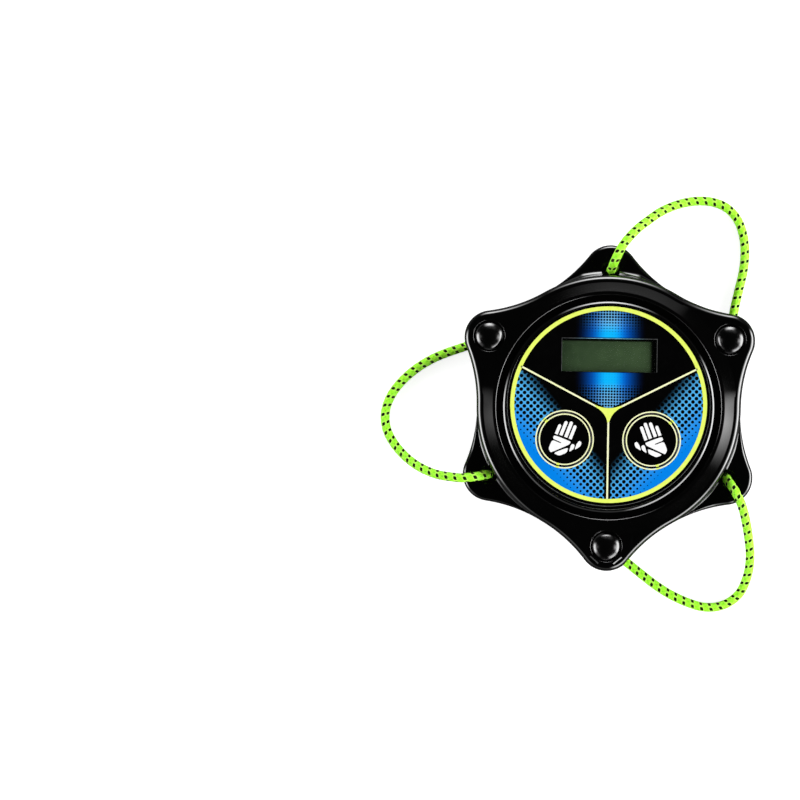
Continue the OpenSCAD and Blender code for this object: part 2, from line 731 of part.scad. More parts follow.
// A round tube along p: each ring stands square to the bisector of its two neighbours,
// and the ring's first direction is carried along from the one before
function heading(p, i) = unit(i == 0 ? [0, 0, 1] : i == len(p) - 1 ? [0, 0, 1]
    : unit(p[i + 1] - p[i]) + unit(p[i] - p[i - 1]));
function side_of(p, i) = i == 0 ? [1, 0, 0]
    : let (h = heading(p, i), s = side_of(p, i - 1)) unit(s - h * (s * h));
function ring(p, i, r) = let (h = heading(p, i), s = side_of(p, i), c = cross(h, s))
    [for (k = [0 : CORD_SIDES - 1]) let (t = 360 * k / CORD_SIDES) p[i] + r * (cos(t) * s + sin(t) * c)];

module cord(turn, middle) {
    p = route(middle);
    n = len(p);
    color("#6fdc1c") rotate(turn) polyhedron(
        points = [for (i = [0 : n - 1]) each ring(p, i, cord_r)],
        faces = concat(
            [[for (k = [0 : CORD_SIDES - 1]) k]],
            [for (i = [0 : n - 2]) for (k = [0 : CORD_SIDES - 1]) let (m = (k + 1) % CORD_SIDES)
                each [[i * CORD_SIDES + k, (i + 1) * CORD_SIDES + k, (i + 1) * CORD_SIDES + m],
                    [i * CORD_SIDES + k, (i + 1) * CORD_SIDES + m, i * CORD_SIDES + m]]],
            [[for (k = [0 : CORD_SIDES - 1]) n * CORD_SIDES - 1 - k]]));
}

lower_shell();
upper_shell();
face_bezel();
face_label();
window_lens();
lcd_glass();
lcd_reflector();
lcd_frame();
zebra_strip();
pad(-1);  // left_pad
pad(1);  // right_pad
switch_base(-1);  // left_switch_base
switch_base(1);  // right_switch_base
switch_plunger(-1);  // left_switch_plunger
switch_plunger(1);  // right_switch_plunger
main_board();
controller_blob();
board_components();
crystal();
buzzer();
coin_cell();
minus_contact();
plus_contact();
battery_cover();
case_screws();
board_screws();
foot(LOWER_TURN);  // top_foot
foot(LOWER_TURN + 120);  // left_foot
foot(LOWER_TURN + 240);  // right_foot
dome_cap(UPPER_TURN);  // right_dome_cap
dome_cap(UPPER_TURN + 120);  // left_dome_cap
dome_cap(UPPER_TURN + 240);  // bottom_dome_cap
cord(0, TOP_ROUTE);  // top_cord
cord(120, LEFT_ROUTE);  // left_cord
cord(240, RIGHT_ROUTE);  // right_cord
knot(LOWER_TURN, hole_at, z_low_knot, false);  // top_hole_knot
knot(LOWER_TURN + 120, hole_at, z_low_knot, false);  // left_hole_knot
knot(LOWER_TURN + 240, hole_at, z_low_knot, false);  // right_hole_knot
knot(UPPER_TURN, dome_at, z_high_knot, true);  // right_dome_knot
knot(UPPER_TURN + 120, dome_at, z_high_knot, true);  // left_dome_knot
knot(UPPER_TURN + 240, dome_at, z_high_knot, true);  // bottom_dome_knot
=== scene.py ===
# %% [markdown]
# # A speed cube timer, piece by piece
# A flat black desk timer: two shells with three lobes each, a printed face with a
# small display and two finger pads, and three loops of lime elastic cord. The CAD
# model already holds every size and every moving body, so it is loaded first and
# never moved. Blender then gives each piece its rounded edges and its finish.

import json
import math

import bmesh
import bpy
import numpy as np
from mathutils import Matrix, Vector

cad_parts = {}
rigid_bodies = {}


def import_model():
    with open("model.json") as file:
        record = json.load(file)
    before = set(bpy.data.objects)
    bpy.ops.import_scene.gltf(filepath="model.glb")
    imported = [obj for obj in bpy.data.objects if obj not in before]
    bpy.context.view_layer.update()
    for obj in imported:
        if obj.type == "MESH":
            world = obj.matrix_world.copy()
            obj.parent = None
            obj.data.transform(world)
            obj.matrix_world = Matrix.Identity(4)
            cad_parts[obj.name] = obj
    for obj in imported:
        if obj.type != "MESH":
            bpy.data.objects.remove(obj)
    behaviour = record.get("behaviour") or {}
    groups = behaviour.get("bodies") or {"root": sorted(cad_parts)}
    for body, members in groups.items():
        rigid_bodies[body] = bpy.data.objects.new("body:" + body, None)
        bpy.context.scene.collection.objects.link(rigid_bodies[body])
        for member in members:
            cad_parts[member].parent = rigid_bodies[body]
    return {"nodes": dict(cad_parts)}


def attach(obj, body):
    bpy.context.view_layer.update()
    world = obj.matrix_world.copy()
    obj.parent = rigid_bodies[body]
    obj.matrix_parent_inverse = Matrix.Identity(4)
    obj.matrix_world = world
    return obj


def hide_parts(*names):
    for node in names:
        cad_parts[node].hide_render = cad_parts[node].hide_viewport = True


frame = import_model()
for spare in [o for o in bpy.data.objects if o.name in ("Cube", "Light", "Camera")]:
    bpy.data.objects.remove(spare)
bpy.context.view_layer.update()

# %% [markdown]
# ## The camera
# The picture looks down from far away, so that the round casing stays a circle and
# no side wall shows. A long lens from about 1.8 m gives that calm, nearly flat view.
# The camera stands a little back from above the timer, and it looks past it to the
# left, which puts the timer in the right half of the picture. No lens shift is used.

# %% Camera
MM = 0.001
camera_turn = math.radians(1.0)
stands_back = 45
aim_right, aim_up, aim_z = -68.6, 47.4, 17
camera_height = 1798
lens_mm = 241

camera_data = bpy.data.cameras.new("overhead")
camera_data.lens = lens_mm
camera_data.clip_end = 20
camera = bpy.data.objects.new("overhead_camera", camera_data)
camera.location = (0, -stands_back * MM, camera_height * MM)
drop = camera_height - aim_z
tilt_up = math.atan2(aim_up, math.hypot(aim_right, drop))
camera.rotation_euler = (tilt_up, math.atan2(-aim_right, drop), camera_turn)
bpy.context.scene.collection.objects.link(camera)
bpy.context.scene.camera = camera
print("camera at", [round(x, 3) for x in camera.location])

# %% [markdown]
# ## Small helpers for meshes
# Nearly every piece of the timer is either turned round an axis or drawn up from an
# outline. Both are rows of points joined by four-sided faces, so one function that
# joins rings is enough. Sharp edges are found by their angle, and a weighted-normal
# modifier keeps the large flat faces flat beside their small rounded edges.

# %% Joining rings of points into a mesh
SHARP = math.radians(33)
SAME_POINT = 1e-7


def shade(piece, sharp=SHARP):
    """Smooth shading, with the edges over the sharp angle kept crisp."""
    work = bmesh.new()
    work.from_mesh(piece.data)
    for face in work.faces:
        face.smooth = True
    for edge in work.edges:
        edge.smooth = len(edge.link_faces) == 2 and edge.calc_face_angle(0.0) < sharp
    work.to_mesh(piece.data)
    work.free()
    if "flat faces stay flat" not in piece.modifiers:
        even = piece.modifiers.new("flat faces stay flat", "WEIGHTED_NORMAL")
        even.keep_sharp = True
    return piece


def mesh_piece(name, points_mm, faces):
    """A new object from points in millimetres; points that coincide are joined."""
    mesh = bpy.data.meshes.new(name)
    mesh.from_pydata([tuple(float(x) * MM for x in p) for p in points_mm], [], faces)
    work = bmesh.new()
    work.from_mesh(mesh)
    bmesh.ops.remove_doubles(work, verts=work.verts, dist=SAME_POINT)
    bmesh.ops.recalc_face_normals(work, faces=work.faces)
    work.to_mesh(mesh)
    work.free()
    piece = bpy.data.objects.new(name, mesh)
    bpy.context.scene.collection.objects.link(piece)
    return shade(piece)


def loft(name, rings):
    """Joins closed rings, each of as many points, and the last one to the first."""
    rings = np.asarray(rings, float)
    count, n = rings.shape[:2]
    faces = [
        (i * n + k, i * n + (k + 1) % n, (i + 1) % count * n + (k + 1) % n,
         (i + 1) % count * n + k)
        for i in range(count) for k in range(n)
    ]
    return mesh_piece(name, rings.reshape(-1, 3), faces)


def lathe(name, profile, at=(0, 0), steps=96):
    """Turns a closed profile of (radius, height) about an upright axis."""
    turn = np.linspace(0, 2 * math.pi, steps, endpoint=False)
    rings = [
        np.stack([at[0] + r * np.cos(turn), at[1] + r * np.sin(turn), 0 * turn + z], 1)
        for r, z in profile
    ]
    return loft(name, rings)


def corner(centre, radius, start, end, steps=5):
    """Points of a rounded corner in a profile, from one angle to another."""
    return [
        (centre[0] + radius * math.cos(math.radians(start + (end - start) * i / steps)),
         centre[1] + radius * math.sin(math.radians(start + (end - start) * i / steps)))
        for i in range(steps + 1)
    ]


print("helpers ready: loft and lathe")

# %% [markdown]
# Holes and recesses are easiest to think of as drills: a solid that is taken away.
# Blender's Boolean modifier does that. All the drills of one piece go into one
# collection, so the modifier runs once, and its result becomes the piece's mesh.

# %% Drills and joins
def drill(radius, z_low, z_high, at=(0, 0), radius_top=None, steps=48):
    """An upright round cutter, or a cone if radius_top is given."""
    top = radius if radius_top is None else radius_top
    return lathe("cutter", [(0, z_low), (radius, z_low), (top, z_high), (0, z_high)],
                 at, steps)


def block(x0, x1, y0, y1, z0, z1):
    """A rectangular cutter."""
    points = [(x, y, z) for z in (z0, z1)
              for x, y in ((x0, y0), (x1, y0), (x1, y1), (x0, y1))]
    return mesh_piece("cutter", points, [
        (0, 3, 2, 1), (4, 5, 6, 7), (0, 1, 5, 4), (1, 2, 6, 5), (2, 3, 7, 6), (3, 0, 4, 7)])


def combine(piece, others, how):
    """Joins the others to a piece, or cuts them out of it, and removes them."""
    group = bpy.data.collections.new("work")
    for other in others:
        group.objects.link(other)
    step = piece.modifiers.new("step", "BOOLEAN")
    step.operand_type = "COLLECTION"
    step.collection = group
    step.operation = how
    step.solver = "MANIFOLD"
    piece.modifiers.move(piece.modifiers.find("step"), 0)
    piece.modifiers["flat faces stay flat"].show_viewport = False
    graph = bpy.context.evaluated_depsgraph_get()
    result = bpy.data.meshes.new_from_object(piece.evaluated_get(graph))
    piece.modifiers.remove(step)
    piece.modifiers["flat faces stay flat"].show_viewport = True
    result.name = piece.name
    piece.data = result
    for other in others:
        bpy.data.objects.remove(other)
    bpy.data.collections.remove(group)
    return shade(piece)


def around(distance, turn):
    """Three places on the lobe axes of a shell, at a distance from the middle."""
    return [
        (distance * math.cos(math.radians(turn + a)), distance * math.sin(math.radians(turn + a)))
        for a in (0, 120, 240)
    ]


print("helpers ready: drill, block, combine")

# %% [markdown]
# ## The lime cords
# Each cord is 3 mm braided elastic. It starts at a knot under a lower lobe, comes up
# through a hole, runs over the lobe and round on the desk, and ends under the dome
# of an upper lobe. The routes are the CAD model's own points. A smooth curve goes
# through them, and a tube follows the curve. The tube carries the braid as real
# relief: two sets of strands that cross, 12 cells round the cord.

# %% Cord sizes and routes
cord_d = 3.0
lower_turn, upper_turn = 90, 30
hole_at, dome_at = 46.0, 46.3
z_low_knot, z_high_knot = 4.3, 10.9
straight_at_hole, straight_at_dome = 1.5, 3.2
z_lobe = 6.8

TOP_ROUTE = [
    [0.5, 46.8, 8.2], [1.2, 48.8, 10.2], [2.4, 51.4, 11.2], [4, 54.4, 11.1],
    [6.4, 57.5, 10.2], [9.2, 60.4, 8.8], [12.4, 63, 7.1], [16, 65.7, 5.2],
    [20.3, 67.9, 3.5], [25, 69.4, 2.2], [30, 70, 1.6], [34.8, 69.4, 1.5],
    [39, 67.4, 1.5], [42.3, 63.6, 1.5], [44.2, 58.4, 1.5], [44.8, 52.5, 1.5],
    [44.3, 46.5, 1.5], [43, 40.5, 1.5], [41.7, 34.5, 1.5], [40.9, 29.3, 1.5],
    [40.6, 26.3, 2.3], [40.5, 24.1, 4.5]]
LEFT_ROUTE = [
    [0.4, 46.8, 8.2], [1, 48.9, 10.2], [2, 51.5, 11.2], [3.4, 54.5, 11.1],
    [5.5, 57.5, 10.2], [8, 60.6, 8.8], [11.2, 63.4, 7.1], [15, 65.8, 5.2],
    [19.5, 67.6, 3.5], [24.3, 68.6, 2.2], [29.2, 68.6, 1.6], [33.6, 67.1, 1.5],
    [37.2, 64.3, 1.5], [40, 60.2, 1.5], [41.9, 55.2, 1.5], [43, 49.5, 1.5],
    [43.2, 44, 1.5], [42.7, 38.8, 1.5], [41.8, 33.8, 1.5], [41, 29.3, 1.5],
    [40.7, 26.3, 2.3], [40.5, 24.1, 4.5]]
RIGHT_ROUTE = [
    [0.5, 46.8, 8.2], [1.4, 48.8, 10.2], [2.8, 51.3, 11.2], [4.7, 54.2, 11.1],
    [7.2, 57, 10.2], [10.2, 59.8, 8.8], [13.4, 62.5, 7.1], [17.1, 65.3, 5.2],
    [21.3, 67.6, 3.5], [25.8, 69, 2.2], [30.5, 69.4, 1.6], [34.9, 68, 1.5],
    [38.5, 65.1, 1.5], [41, 60.9, 1.5], [42.3, 55.6, 1.5], [42.9, 50, 1.5],
    [42.8, 44.4, 1.5], [42.2, 39, 1.5], [41.5, 33.9, 1.5], [40.9, 29.3, 1.5],
    [40.6, 26.3, 2.3], [40.5, 24.1, 4.5]]


def whole_route(middle, turn):
    """The route in millimetres, from knot to knot, turned to its own lobe."""
    dome = around(dome_at, upper_turn)[0]
    points = [[0, hole_at, z_low_knot], [0, hole_at, z_low_knot + straight_at_hole], *middle,
              [*dome, z_high_knot - straight_at_dome], [*dome, z_high_knot]]
    c, s = math.cos(math.radians(turn)), math.sin(math.radians(turn))
    return np.array([[x * c - y * s, x * s + y * c, z] for x, y, z in points])


print("routes of", len(TOP_ROUTE) + 4, "points each")

# %% A smooth line through the route, cut into even steps
BETWEEN = 24


def smooth_line(points, step):
    """A Catmull-Rom curve through the points, as points one step apart."""
    ends = np.vstack([2 * points[0] - points[1], points, 2 * points[-1] - points[-2]])
    fine = []
    for i in range(1, len(ends) - 2):
        p0, p1, p2, p3 = ends[i - 1:i + 3]
        t = np.linspace(0, 1, BETWEEN, endpoint=False)[:, None]
        fine.append(0.5 * (2 * p1 + (p2 - p0) * t + (2 * p0 - 5 * p1 + 4 * p2 - p3) * t ** 2
                           + (3 * p1 - p0 - 3 * p2 + p3) * t ** 3))
    fine = np.vstack([*fine, points[-1:]])
    run = np.concatenate([[0], np.cumsum(np.linalg.norm(np.diff(fine, axis=0), axis=1))])
    marks = np.linspace(0, run[-1], int(run[-1] / step) + 1)
    return np.stack([np.interp(marks, run, fine[:, k]) for k in range(3)], 1), run[-1]


def carried_frames(line):
    """Two directions square to the line at each point, carried along without twist."""
    ahead = np.gradient(line, axis=0)
    ahead /= np.linalg.norm(ahead, axis=1)[:, None]
    side = np.cross(ahead[0], [0, 1, 0])
    sides = []
    for heading in ahead:
        side = side - heading * side.dot(heading)
        side /= np.linalg.norm(side)
        sides.append(side)
    sides = np.array(sides)
    return sides, np.cross(ahead, sides)


print("a smooth line and its carried directions are ready")

# %% The braided tube
CELLS_ROUND = 12
cell_length = 1.02
braid_depth = 0.07
tube_step = 0.2
tube_sides = 48
over_desk = 0.02


def braid_relief(angle, run):
    """How far the strands stand out: two helical families that go over and under."""
    u, v = angle * CELLS_ROUND / (2 * math.pi), run / cell_length
    strand = np.abs(np.cos(math.pi * (u + v) / 2) * np.cos(math.pi * (u - v) / 2))
    return braid_depth * (np.sqrt(strand) - 0.75)


def braided_cord(name, route, roll):
    """The cord's mesh with its lay in a UV map: turns round it, and millimetres along.

    The roll turns the flecks round the cord. It is a number of sixths of a turn, so that
    they still fit the strands."""
    line, length = smooth_line(route, tube_step)
    line[:, 2] = np.maximum(line[:, 2], cord_d / 2 + over_desk)
    sides, ups = carried_frames(line)
    angle = np.linspace(0, 2 * math.pi, tube_sides, endpoint=False)
    run = np.linspace(0, length, len(line))
    radius = cord_d / 2 + braid_relief(angle[None, :], run[:, None])
    across, upward = np.cos(angle)[None, :, None], np.sin(angle)[None, :, None]
    rings = line[:, None] + radius[..., None] * (across * sides[:, None] + upward * ups[:, None])
    n, count = tube_sides, len(line)
    mesh = bpy.data.meshes.new(name)
    faces = [(i * n + k, i * n + (k + 1) % n, (i + 1) * n + (k + 1) % n, (i + 1) * n + k)
             for i in range(count - 1) for k in range(n)]
    caps = [tuple(range(n - 1, -1, -1)), tuple((count - 1) * n + k for k in range(n))]
    mesh.from_pydata((rings.reshape(-1, 3) * MM).tolist(), [], faces + caps)
    lay = np.zeros((len(mesh.loops), 2))
    lay[:4 * len(faces)] = [
        ((k + dk) / n + roll, run[i + di])
        for i in range(count - 1) for k in range(n)
        for di, dk in ((0, 0), (0, 1), (1, 1), (1, 0))]
    mesh.uv_layers.new(name="lay").data.foreach_set("uv", lay.ravel())
    mesh.shade_smooth()
    piece = bpy.data.objects.new(name, mesh)
    bpy.context.scene.collection.objects.link(piece)
    return piece, line, length


cords = {}
for side_name, middle, turn, roll in (("top", TOP_ROUTE, 0, 0), ("left", LEFT_ROUTE, 120, 0),
                                      ("right", RIGHT_ROUTE, 240, 1 / 2)):
    cords[side_name] = braided_cord(f"{side_name}_elastic", whole_route(middle, turn), roll)
    print(side_name, "cord is", round(cords[side_name][2], 1), "mm long")

# %% [markdown]
# ### The knots
# Both ends of each cord are pulled into tight knots that sit in round pockets. The
# strands of such a knot wrap round it at a slant. A turned form whose radius swells
# and dips along slanted lines shows that well enough for something seen only from
# below, through the pocket's mouth.

# %% Knots in their pockets
knot_r, knot_h = 3.2, 3.0
knot_dip, knot_lean = 0.14, 2.4


def wrapped_knot(name, at, z, up):
    """A lumpy turned form; up says which way its domed side points."""
    steps, rows = 72, 22
    angle = np.linspace(0, 2 * math.pi, steps, endpoint=False)
    low, high = math.radians(-50), math.radians(80)
    rings = [np.stack([at[0] + 0 * angle, at[1] + 0 * angle, z + 0 * angle], 1)]
    for i in range(rows + 1):
        t = low + (high - low) * i / rows
        height = knot_h * (math.sin(t) - math.sin(low)) / (math.sin(high) - math.sin(low))
        wrap = np.abs(np.sin(1.5 * angle + knot_lean * height / knot_h * math.pi / 2))
        radius = knot_r * math.cos(t) * (1 - knot_dip + knot_dip * wrap ** 0.5)
        rings.append(np.stack([at[0] + radius * np.cos(angle), at[1] + radius * np.sin(angle),
                               z + (height if up else -height) + 0 * angle], 1))
    top = z + (knot_h if up else -knot_h)
    rings.append(np.stack([at[0] + 0 * angle, at[1] + 0 * angle, top + 0 * angle], 1))
    return loft(name, rings)


hole_knots = {name: wrapped_knot(f"{name}_lower_knot", at, z_low_knot, False)
              for name, at in zip(("top", "left", "right"), around(hole_at, lower_turn))}
dome_knots = {name: wrapped_knot(f"{name}_upper_knot", at, z_high_knot, True)
              for name, at in zip(("right", "left", "bottom"), around(dome_at, upper_turn))}
print(len(hole_knots) + len(dome_knots), "knots")

CORD_ENDS = {"top": "right", "left": "left", "right": "bottom"}

for name, (piece, line, length) in cords.items():
    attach(piece, "root")
    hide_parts(f"{name}_cord")
    low, high = hole_knots[name], dome_knots[CORD_ENDS[name]]
    for knot, node in ((low, f"{name}_hole_knot"), (high, f"{CORD_ENDS[name]}_dome_knot")):
        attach(knot, "root")
        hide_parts(node)
    way_out = line[0] * MM
    length * MM
    line * MM

# %% [markdown]
# ## The lobed outline
# Each shell is a round wall with three lobes. Four arcs make one third of it: a
# hollow arc, the lobe's round end, the same hollow arc mirrored, and the round wall.
# Because they are arcs, an inset outline is just the same arcs with other radii,
# which is how the rounded edges stay even all the way round.

# %% Outline from arcs
body_r, lobe_r, blend_r = 44.0, 9.0, 50.0
lobe_at = body_r + 1.5
ARC_POINTS = (28, 30, 28, 70)

blend_at = body_r + blend_r
blend_turn = math.acos((blend_at ** 2 + lobe_at ** 2 - (lobe_r + blend_r) ** 2)
                       / (2 * blend_at * lobe_at))
blend_x, blend_y = blend_at * math.cos(blend_turn), blend_at * math.sin(blend_turn)
tip_turn = math.atan2(blend_y, blend_x - lobe_at)


def lobed_outline(turn, inset=0.0):
    """Points of the outline, going round, at an inset from the full size."""
    third = 2 * math.pi / 3
    arcs = (
        ((blend_x, -blend_y), blend_r + inset, math.pi - blend_turn, math.pi - tip_turn),
        ((lobe_at, 0), lobe_r - inset, -tip_turn, tip_turn),
        ((blend_x, blend_y), blend_r + inset, math.pi + tip_turn, math.pi + blend_turn),
        ((0, 0), body_r - inset, blend_turn, third - blend_turn),
    )
    points = []
    for ((cx, cy), r, start, end), n in zip(arcs, ARC_POINTS):
        t = start + (end - start) * np.arange(n) / n
        points.append(np.stack([cx + r * np.cos(t), cy + r * np.sin(t)], 1))
    one = np.vstack(points)
    turned = []
    for k in range(3):
        a = math.radians(turn) + k * third
        c, s = math.cos(a), math.sin(a)
        turned.append(one @ np.array([[c, s], [-s, c]]))
    return np.vstack(turned)


def flat_ring(outline, z):
    """An outline at a height, as a ring of points. The height may vary round it."""
    return np.column_stack([outline, np.broadcast_to(z, len(outline))])


def round_ring(outline, radius, z):
    """A circle with its points in the same directions as those of an outline."""
    away = outline / np.linalg.norm(outline, axis=1)[:, None]
    return flat_ring(away * np.broadcast_to(radius, len(outline))[:, None], z)


print("outline of", len(lobed_outline(0)), "points")

# %% [markdown]
# ## The lower shell
# A moulded tray. Its lobes are low, with the cord holes in them, and a soft fillet
# runs from each lobe up to the round wall. Rings of points are drawn up from the
# underside, over the lobe, up the wall, over the locating lip and down inside.
# Between the lobes the fillet has nothing to stand on, so it fades to nothing there.
# It is full at the top lobe, whose wide bright band shows it, and small at the others.

# %% Heights and walls of both shells
z_under, z_floor, z_seam, z_top = 0.8, 2.8, 9.6, 15.2
z_ceiling, z_seat, z_plate, z_label = 12.8, 14.8, 16.6, 16.9
wall_in = 42.0
screw_at, post_r = 37.0, 3.2
z_post, z_screw_seat = 9.0, 3.8
bore_r, pocket_r = 1.7, 3.5
print("casing from", z_under, "to", z_top, "mm, seam at", z_seam)

# %% Lower shell
lower_edge, root_fillet, seam_bevel = 1.6, 2.6, 0.18
low_lobes_share = 0.3
under_edge, fillet_rise = 0.4, 0.03
cell_hole_r, cover_hole_r, ring_r, z_ring = 10.5, 12.75, 13.2, 8.6
lip_r, lip_in, z_lip = 41.9, 41.0, 11.1
z_cover, cover_edge = z_under + 1.2, 0.15


def lower_shell_rings():
    """The rings of the tray, from its underside round to the battery opening."""
    full = lobed_outline(lower_turn)
    reach = np.linalg.norm(full, axis=1) - body_r
    on_lobe = np.clip(reach / (root_fillet + lower_edge + 0.3), 0, 1)
    fillet = root_fillet * on_lobe * np.where(full[:, 1] > 0, 1, low_lobes_share)
    inset = lobed_outline(lower_turn, lower_edge) - full
    foot = lobed_outline(lower_turn, under_edge) - full
    rings = [flat_ring(full + foot * (1 - math.sin(t)),
                       z_under + under_edge * (1 - math.cos(t)))
             for t in np.linspace(0, math.pi / 2, 5)]
    for t in np.linspace(0, math.pi / 2, 9):
        share = (on_lobe * (1 - math.cos(t)))[:, None]
        rings.append(flat_ring(full + inset * share, z_lobe - lower_edge * (1 - math.sin(t))))
    for i, t in enumerate(np.linspace(0, math.pi / 2, 10)):
        radius = body_r + fillet * (1 - math.sin(t))
        height = z_lobe + fillet_rise * (i + 1) + fillet * (1 - math.cos(t))
        rings.append(round_ring(full, radius, height))
    for radius, z in (
            (body_r, z_seam - seam_bevel), (body_r - seam_bevel, z_seam), (lip_r, z_seam),
            (lip_r, z_lip - 0.2), (lip_r - 0.2, z_lip), (lip_in, z_lip), (lip_in, z_seam - 2),
            (wall_in, z_seam - 2), (wall_in, z_floor), (ring_r, z_floor), (ring_r, z_ring),
            (cell_hole_r, z_ring), (cell_hole_r, z_cover), (cover_hole_r, z_cover),
            (cover_hole_r, z_under + cover_edge), (cover_hole_r + cover_edge, z_under)):
        rings.append(round_ring(full, radius, z))
    return rings


lower_shell = loft("lower_case", lower_shell_rings())
print("lower shell", len(lower_shell.data.polygons), "faces before drilling")

# %% Posts, recesses and cord holes of the lower shell
tab_slot_r, z_slot = 11.8, 4.0
mouth_in, mouth_out, mouth_deep, mouth_rim = bore_r + 0.25, 3.15, 0.62, 0.52
screw_head_hole, screw_hole, foot_hole, foot_inset = 2.5, 1.35, 4.1, 11
sector_in, tab_turn, tab_entry = 8, (-58, 13), (-57.5, -32.5)
contact_gap = (10, 11.6, -3, 3, 4.6, 12)
z_below = 0.3


def pocket_sector(radius, z_low, z_high, start, end):
    """A slice of a disc between two angles, for the battery cover's locking tabs."""
    steps = 14
    angles = [math.radians(start + (end - start) * i / steps) for i in range(steps + 1)]
    edge = [(radius * math.cos(a), radius * math.sin(a)) for a in angles]
    ring = [(sector_in * math.cos(a), sector_in * math.sin(a)) for a in reversed(angles)] + edge
    n = len(ring)
    points = [(x, y, z) for z in (z_low, z_high) for x, y in ring]
    sides = [(k, (k + 1) % n, n + (k + 1) % n, n + k) for k in range(n)]
    return mesh_piece("cutter", points,
                      [tuple(range(n)), tuple(range(2 * n - 1, n - 1, -1)), *sides])


def cord_mouths():
    """Shallow seats round the cord holes, kept clear of the round wall."""
    mouths = []
    for at in around(hole_at, lower_turn):
        mouth = lathe("cutter", [
            (0, z_lobe - 1.45), (bore_r, z_lobe - 1.45), (mouth_in, z_lobe - mouth_deep),
            (mouth_out - 0.2, z_lobe - mouth_rim), (mouth_out, z_lobe),
            (mouth_out, z_lobe + 2.5), (0, z_lobe + 2.5)], at, 64)
        mouths.append(combine(mouth, [drill(body_r, 0, 12, steps=480)], "DIFFERENCE"))
    return mouths


combine(lower_shell, [drill(post_r, 1.8, z_post, at) for at in around(screw_at, upper_turn)],
        "UNION")
cutters = cord_mouths()
for at in around(hole_at, lower_turn):
    cutters += [drill(pocket_r, z_below, z_low_knot, at), drill(bore_r, 3.8, 10.3, at)]
for at in around(screw_at, upper_turn):
    cutters += [drill(screw_head_hole, z_below, z_screw_seat, at),
                drill(screw_hole, z_below, z_seam, at)]
cutters += [drill(foot_hole, z_below, z_under + 0.8, at)
            for at in around(body_r - foot_inset, lower_turn)]
for a in (0, 120, 240):
    cutters += [pocket_sector(tab_slot_r, z_floor, z_slot, *(a + t for t in tab_turn)),
                pocket_sector(tab_slot_r - 0.05, z_under, z_floor + 0.5,
                              *(a + t for t in tab_entry))]
cutters.append(block(*contact_gap))
combine(lower_shell, cutters, "DIFFERENCE")
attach(lower_shell, "root")
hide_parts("lower_shell")
print("lower shell", len(lower_shell.data.polygons), "faces")

# %% [markdown]
# ## The upper shell
# The same outline, turned by 60 degrees. Its top edge is well rounded, and inside
# the lobes a shallow slope rises to a thin raised ridge round the face. That slope
# is what catches the studio light as a grey crescent on each side. The lowest lobe
# has two small slanted notches beside its dome.

# %% Upper shell
upper_edge = 2.15
opening_r, ridge_out, ridge_h, slope_out = 37.3, 38.4, 1.5, 42.8
hollow = 0.06
ledge_in = 32.0


def upper_shell_rings():
    """The rings of the cover, from the seam over the top and back inside."""
    full = lobed_outline(upper_turn)
    inset = lobed_outline(upper_turn, upper_edge) - full
    bevel = lobed_outline(upper_turn, seam_bevel) - full
    rings = [round_ring(full, wall_in, z_seam), flat_ring(full + bevel, z_seam),
             flat_ring(full, z_seam + seam_bevel)]
    rings += [flat_ring(full + inset * (1 - math.cos(t)), z_top - upper_edge * (1 - math.sin(t)))
              for t in np.linspace(0, math.pi / 2, 14)]
    rim = np.minimum(slope_out, np.linalg.norm(full + inset, axis=1) - 0.05)
    for share in np.linspace(0, 0.98, 16):
        rise = share * (1 - hollow + hollow * share)
        rings.append(round_ring(full, rim + (ridge_out - rim) * share, z_top + ridge_h * rise))
    z_ridge = z_top + ridge_h
    profile = [(ridge_out - 0.02, z_ridge - 0.02), (ridge_out - 0.1, z_ridge),
               *corner((opening_r + 0.5, z_ridge - 0.5), 0.5, 90, 180, 7),
               (opening_r, z_seat), (ledge_in, z_seat), (ledge_in, z_ceiling),
               (wall_in, z_ceiling)]
    return rings + [round_ring(full, r, z) for r, z in profile]


upper_shell = loft("upper_case", upper_shell_rings())
print("upper shell", len(upper_shell.data.polygons), "faces before drilling")

# %% Recesses, pockets and notches of the upper shell
dome_recess, dome_ring_r, recess_edge = 0.8, 5.2, 0.22
screw_pilot = 1.1
notch_headings = (229, 309)
notch_start, notch_end, notch_deep, notch_half = 5.85, 6.75, 0.72, 1.75
NOTCH_FACES = [(0, 1, 2, 3), (7, 6, 5, 4), (0, 4, 5, 1), (1, 5, 6, 2), (2, 6, 7, 3), (3, 7, 4, 0)]


def dome_recess_cutter(at):
    """The round recess that a dome sits in, with a rounded rim."""
    rim = [(dome_ring_r + recess_edge * (1 - math.sin(t)), z_top - recess_edge * (1 - math.cos(t)))
           for t in np.linspace(math.pi / 2, 0, 5)]
    return lathe("cutter", [
        (0, z_top - dome_recess), (dome_ring_r, z_top - dome_recess), *rim,
        (dome_ring_r + recess_edge, z_top + 0.85), (0, z_top + 0.85)], at, 96)


def slanted_notch(middle, heading):
    """A short notch beside a dome, that gets deeper as it goes outward."""
    out = (math.cos(math.radians(heading)), math.sin(math.radians(heading)))
    profile = ((notch_start, z_top - 0.02), (notch_end, z_top - notch_deep),
               (notch_end + 0.2, z_top + 0.6), (notch_start, z_top + 0.6))
    points = [(middle[0] + out[0] * away - out[1] * along_edge,
               middle[1] + out[1] * away + out[0] * along_edge, z)
              for along_edge in (-notch_half, notch_half) for away, z in profile]
    return mesh_piece("cutter", points, NOTCH_FACES)


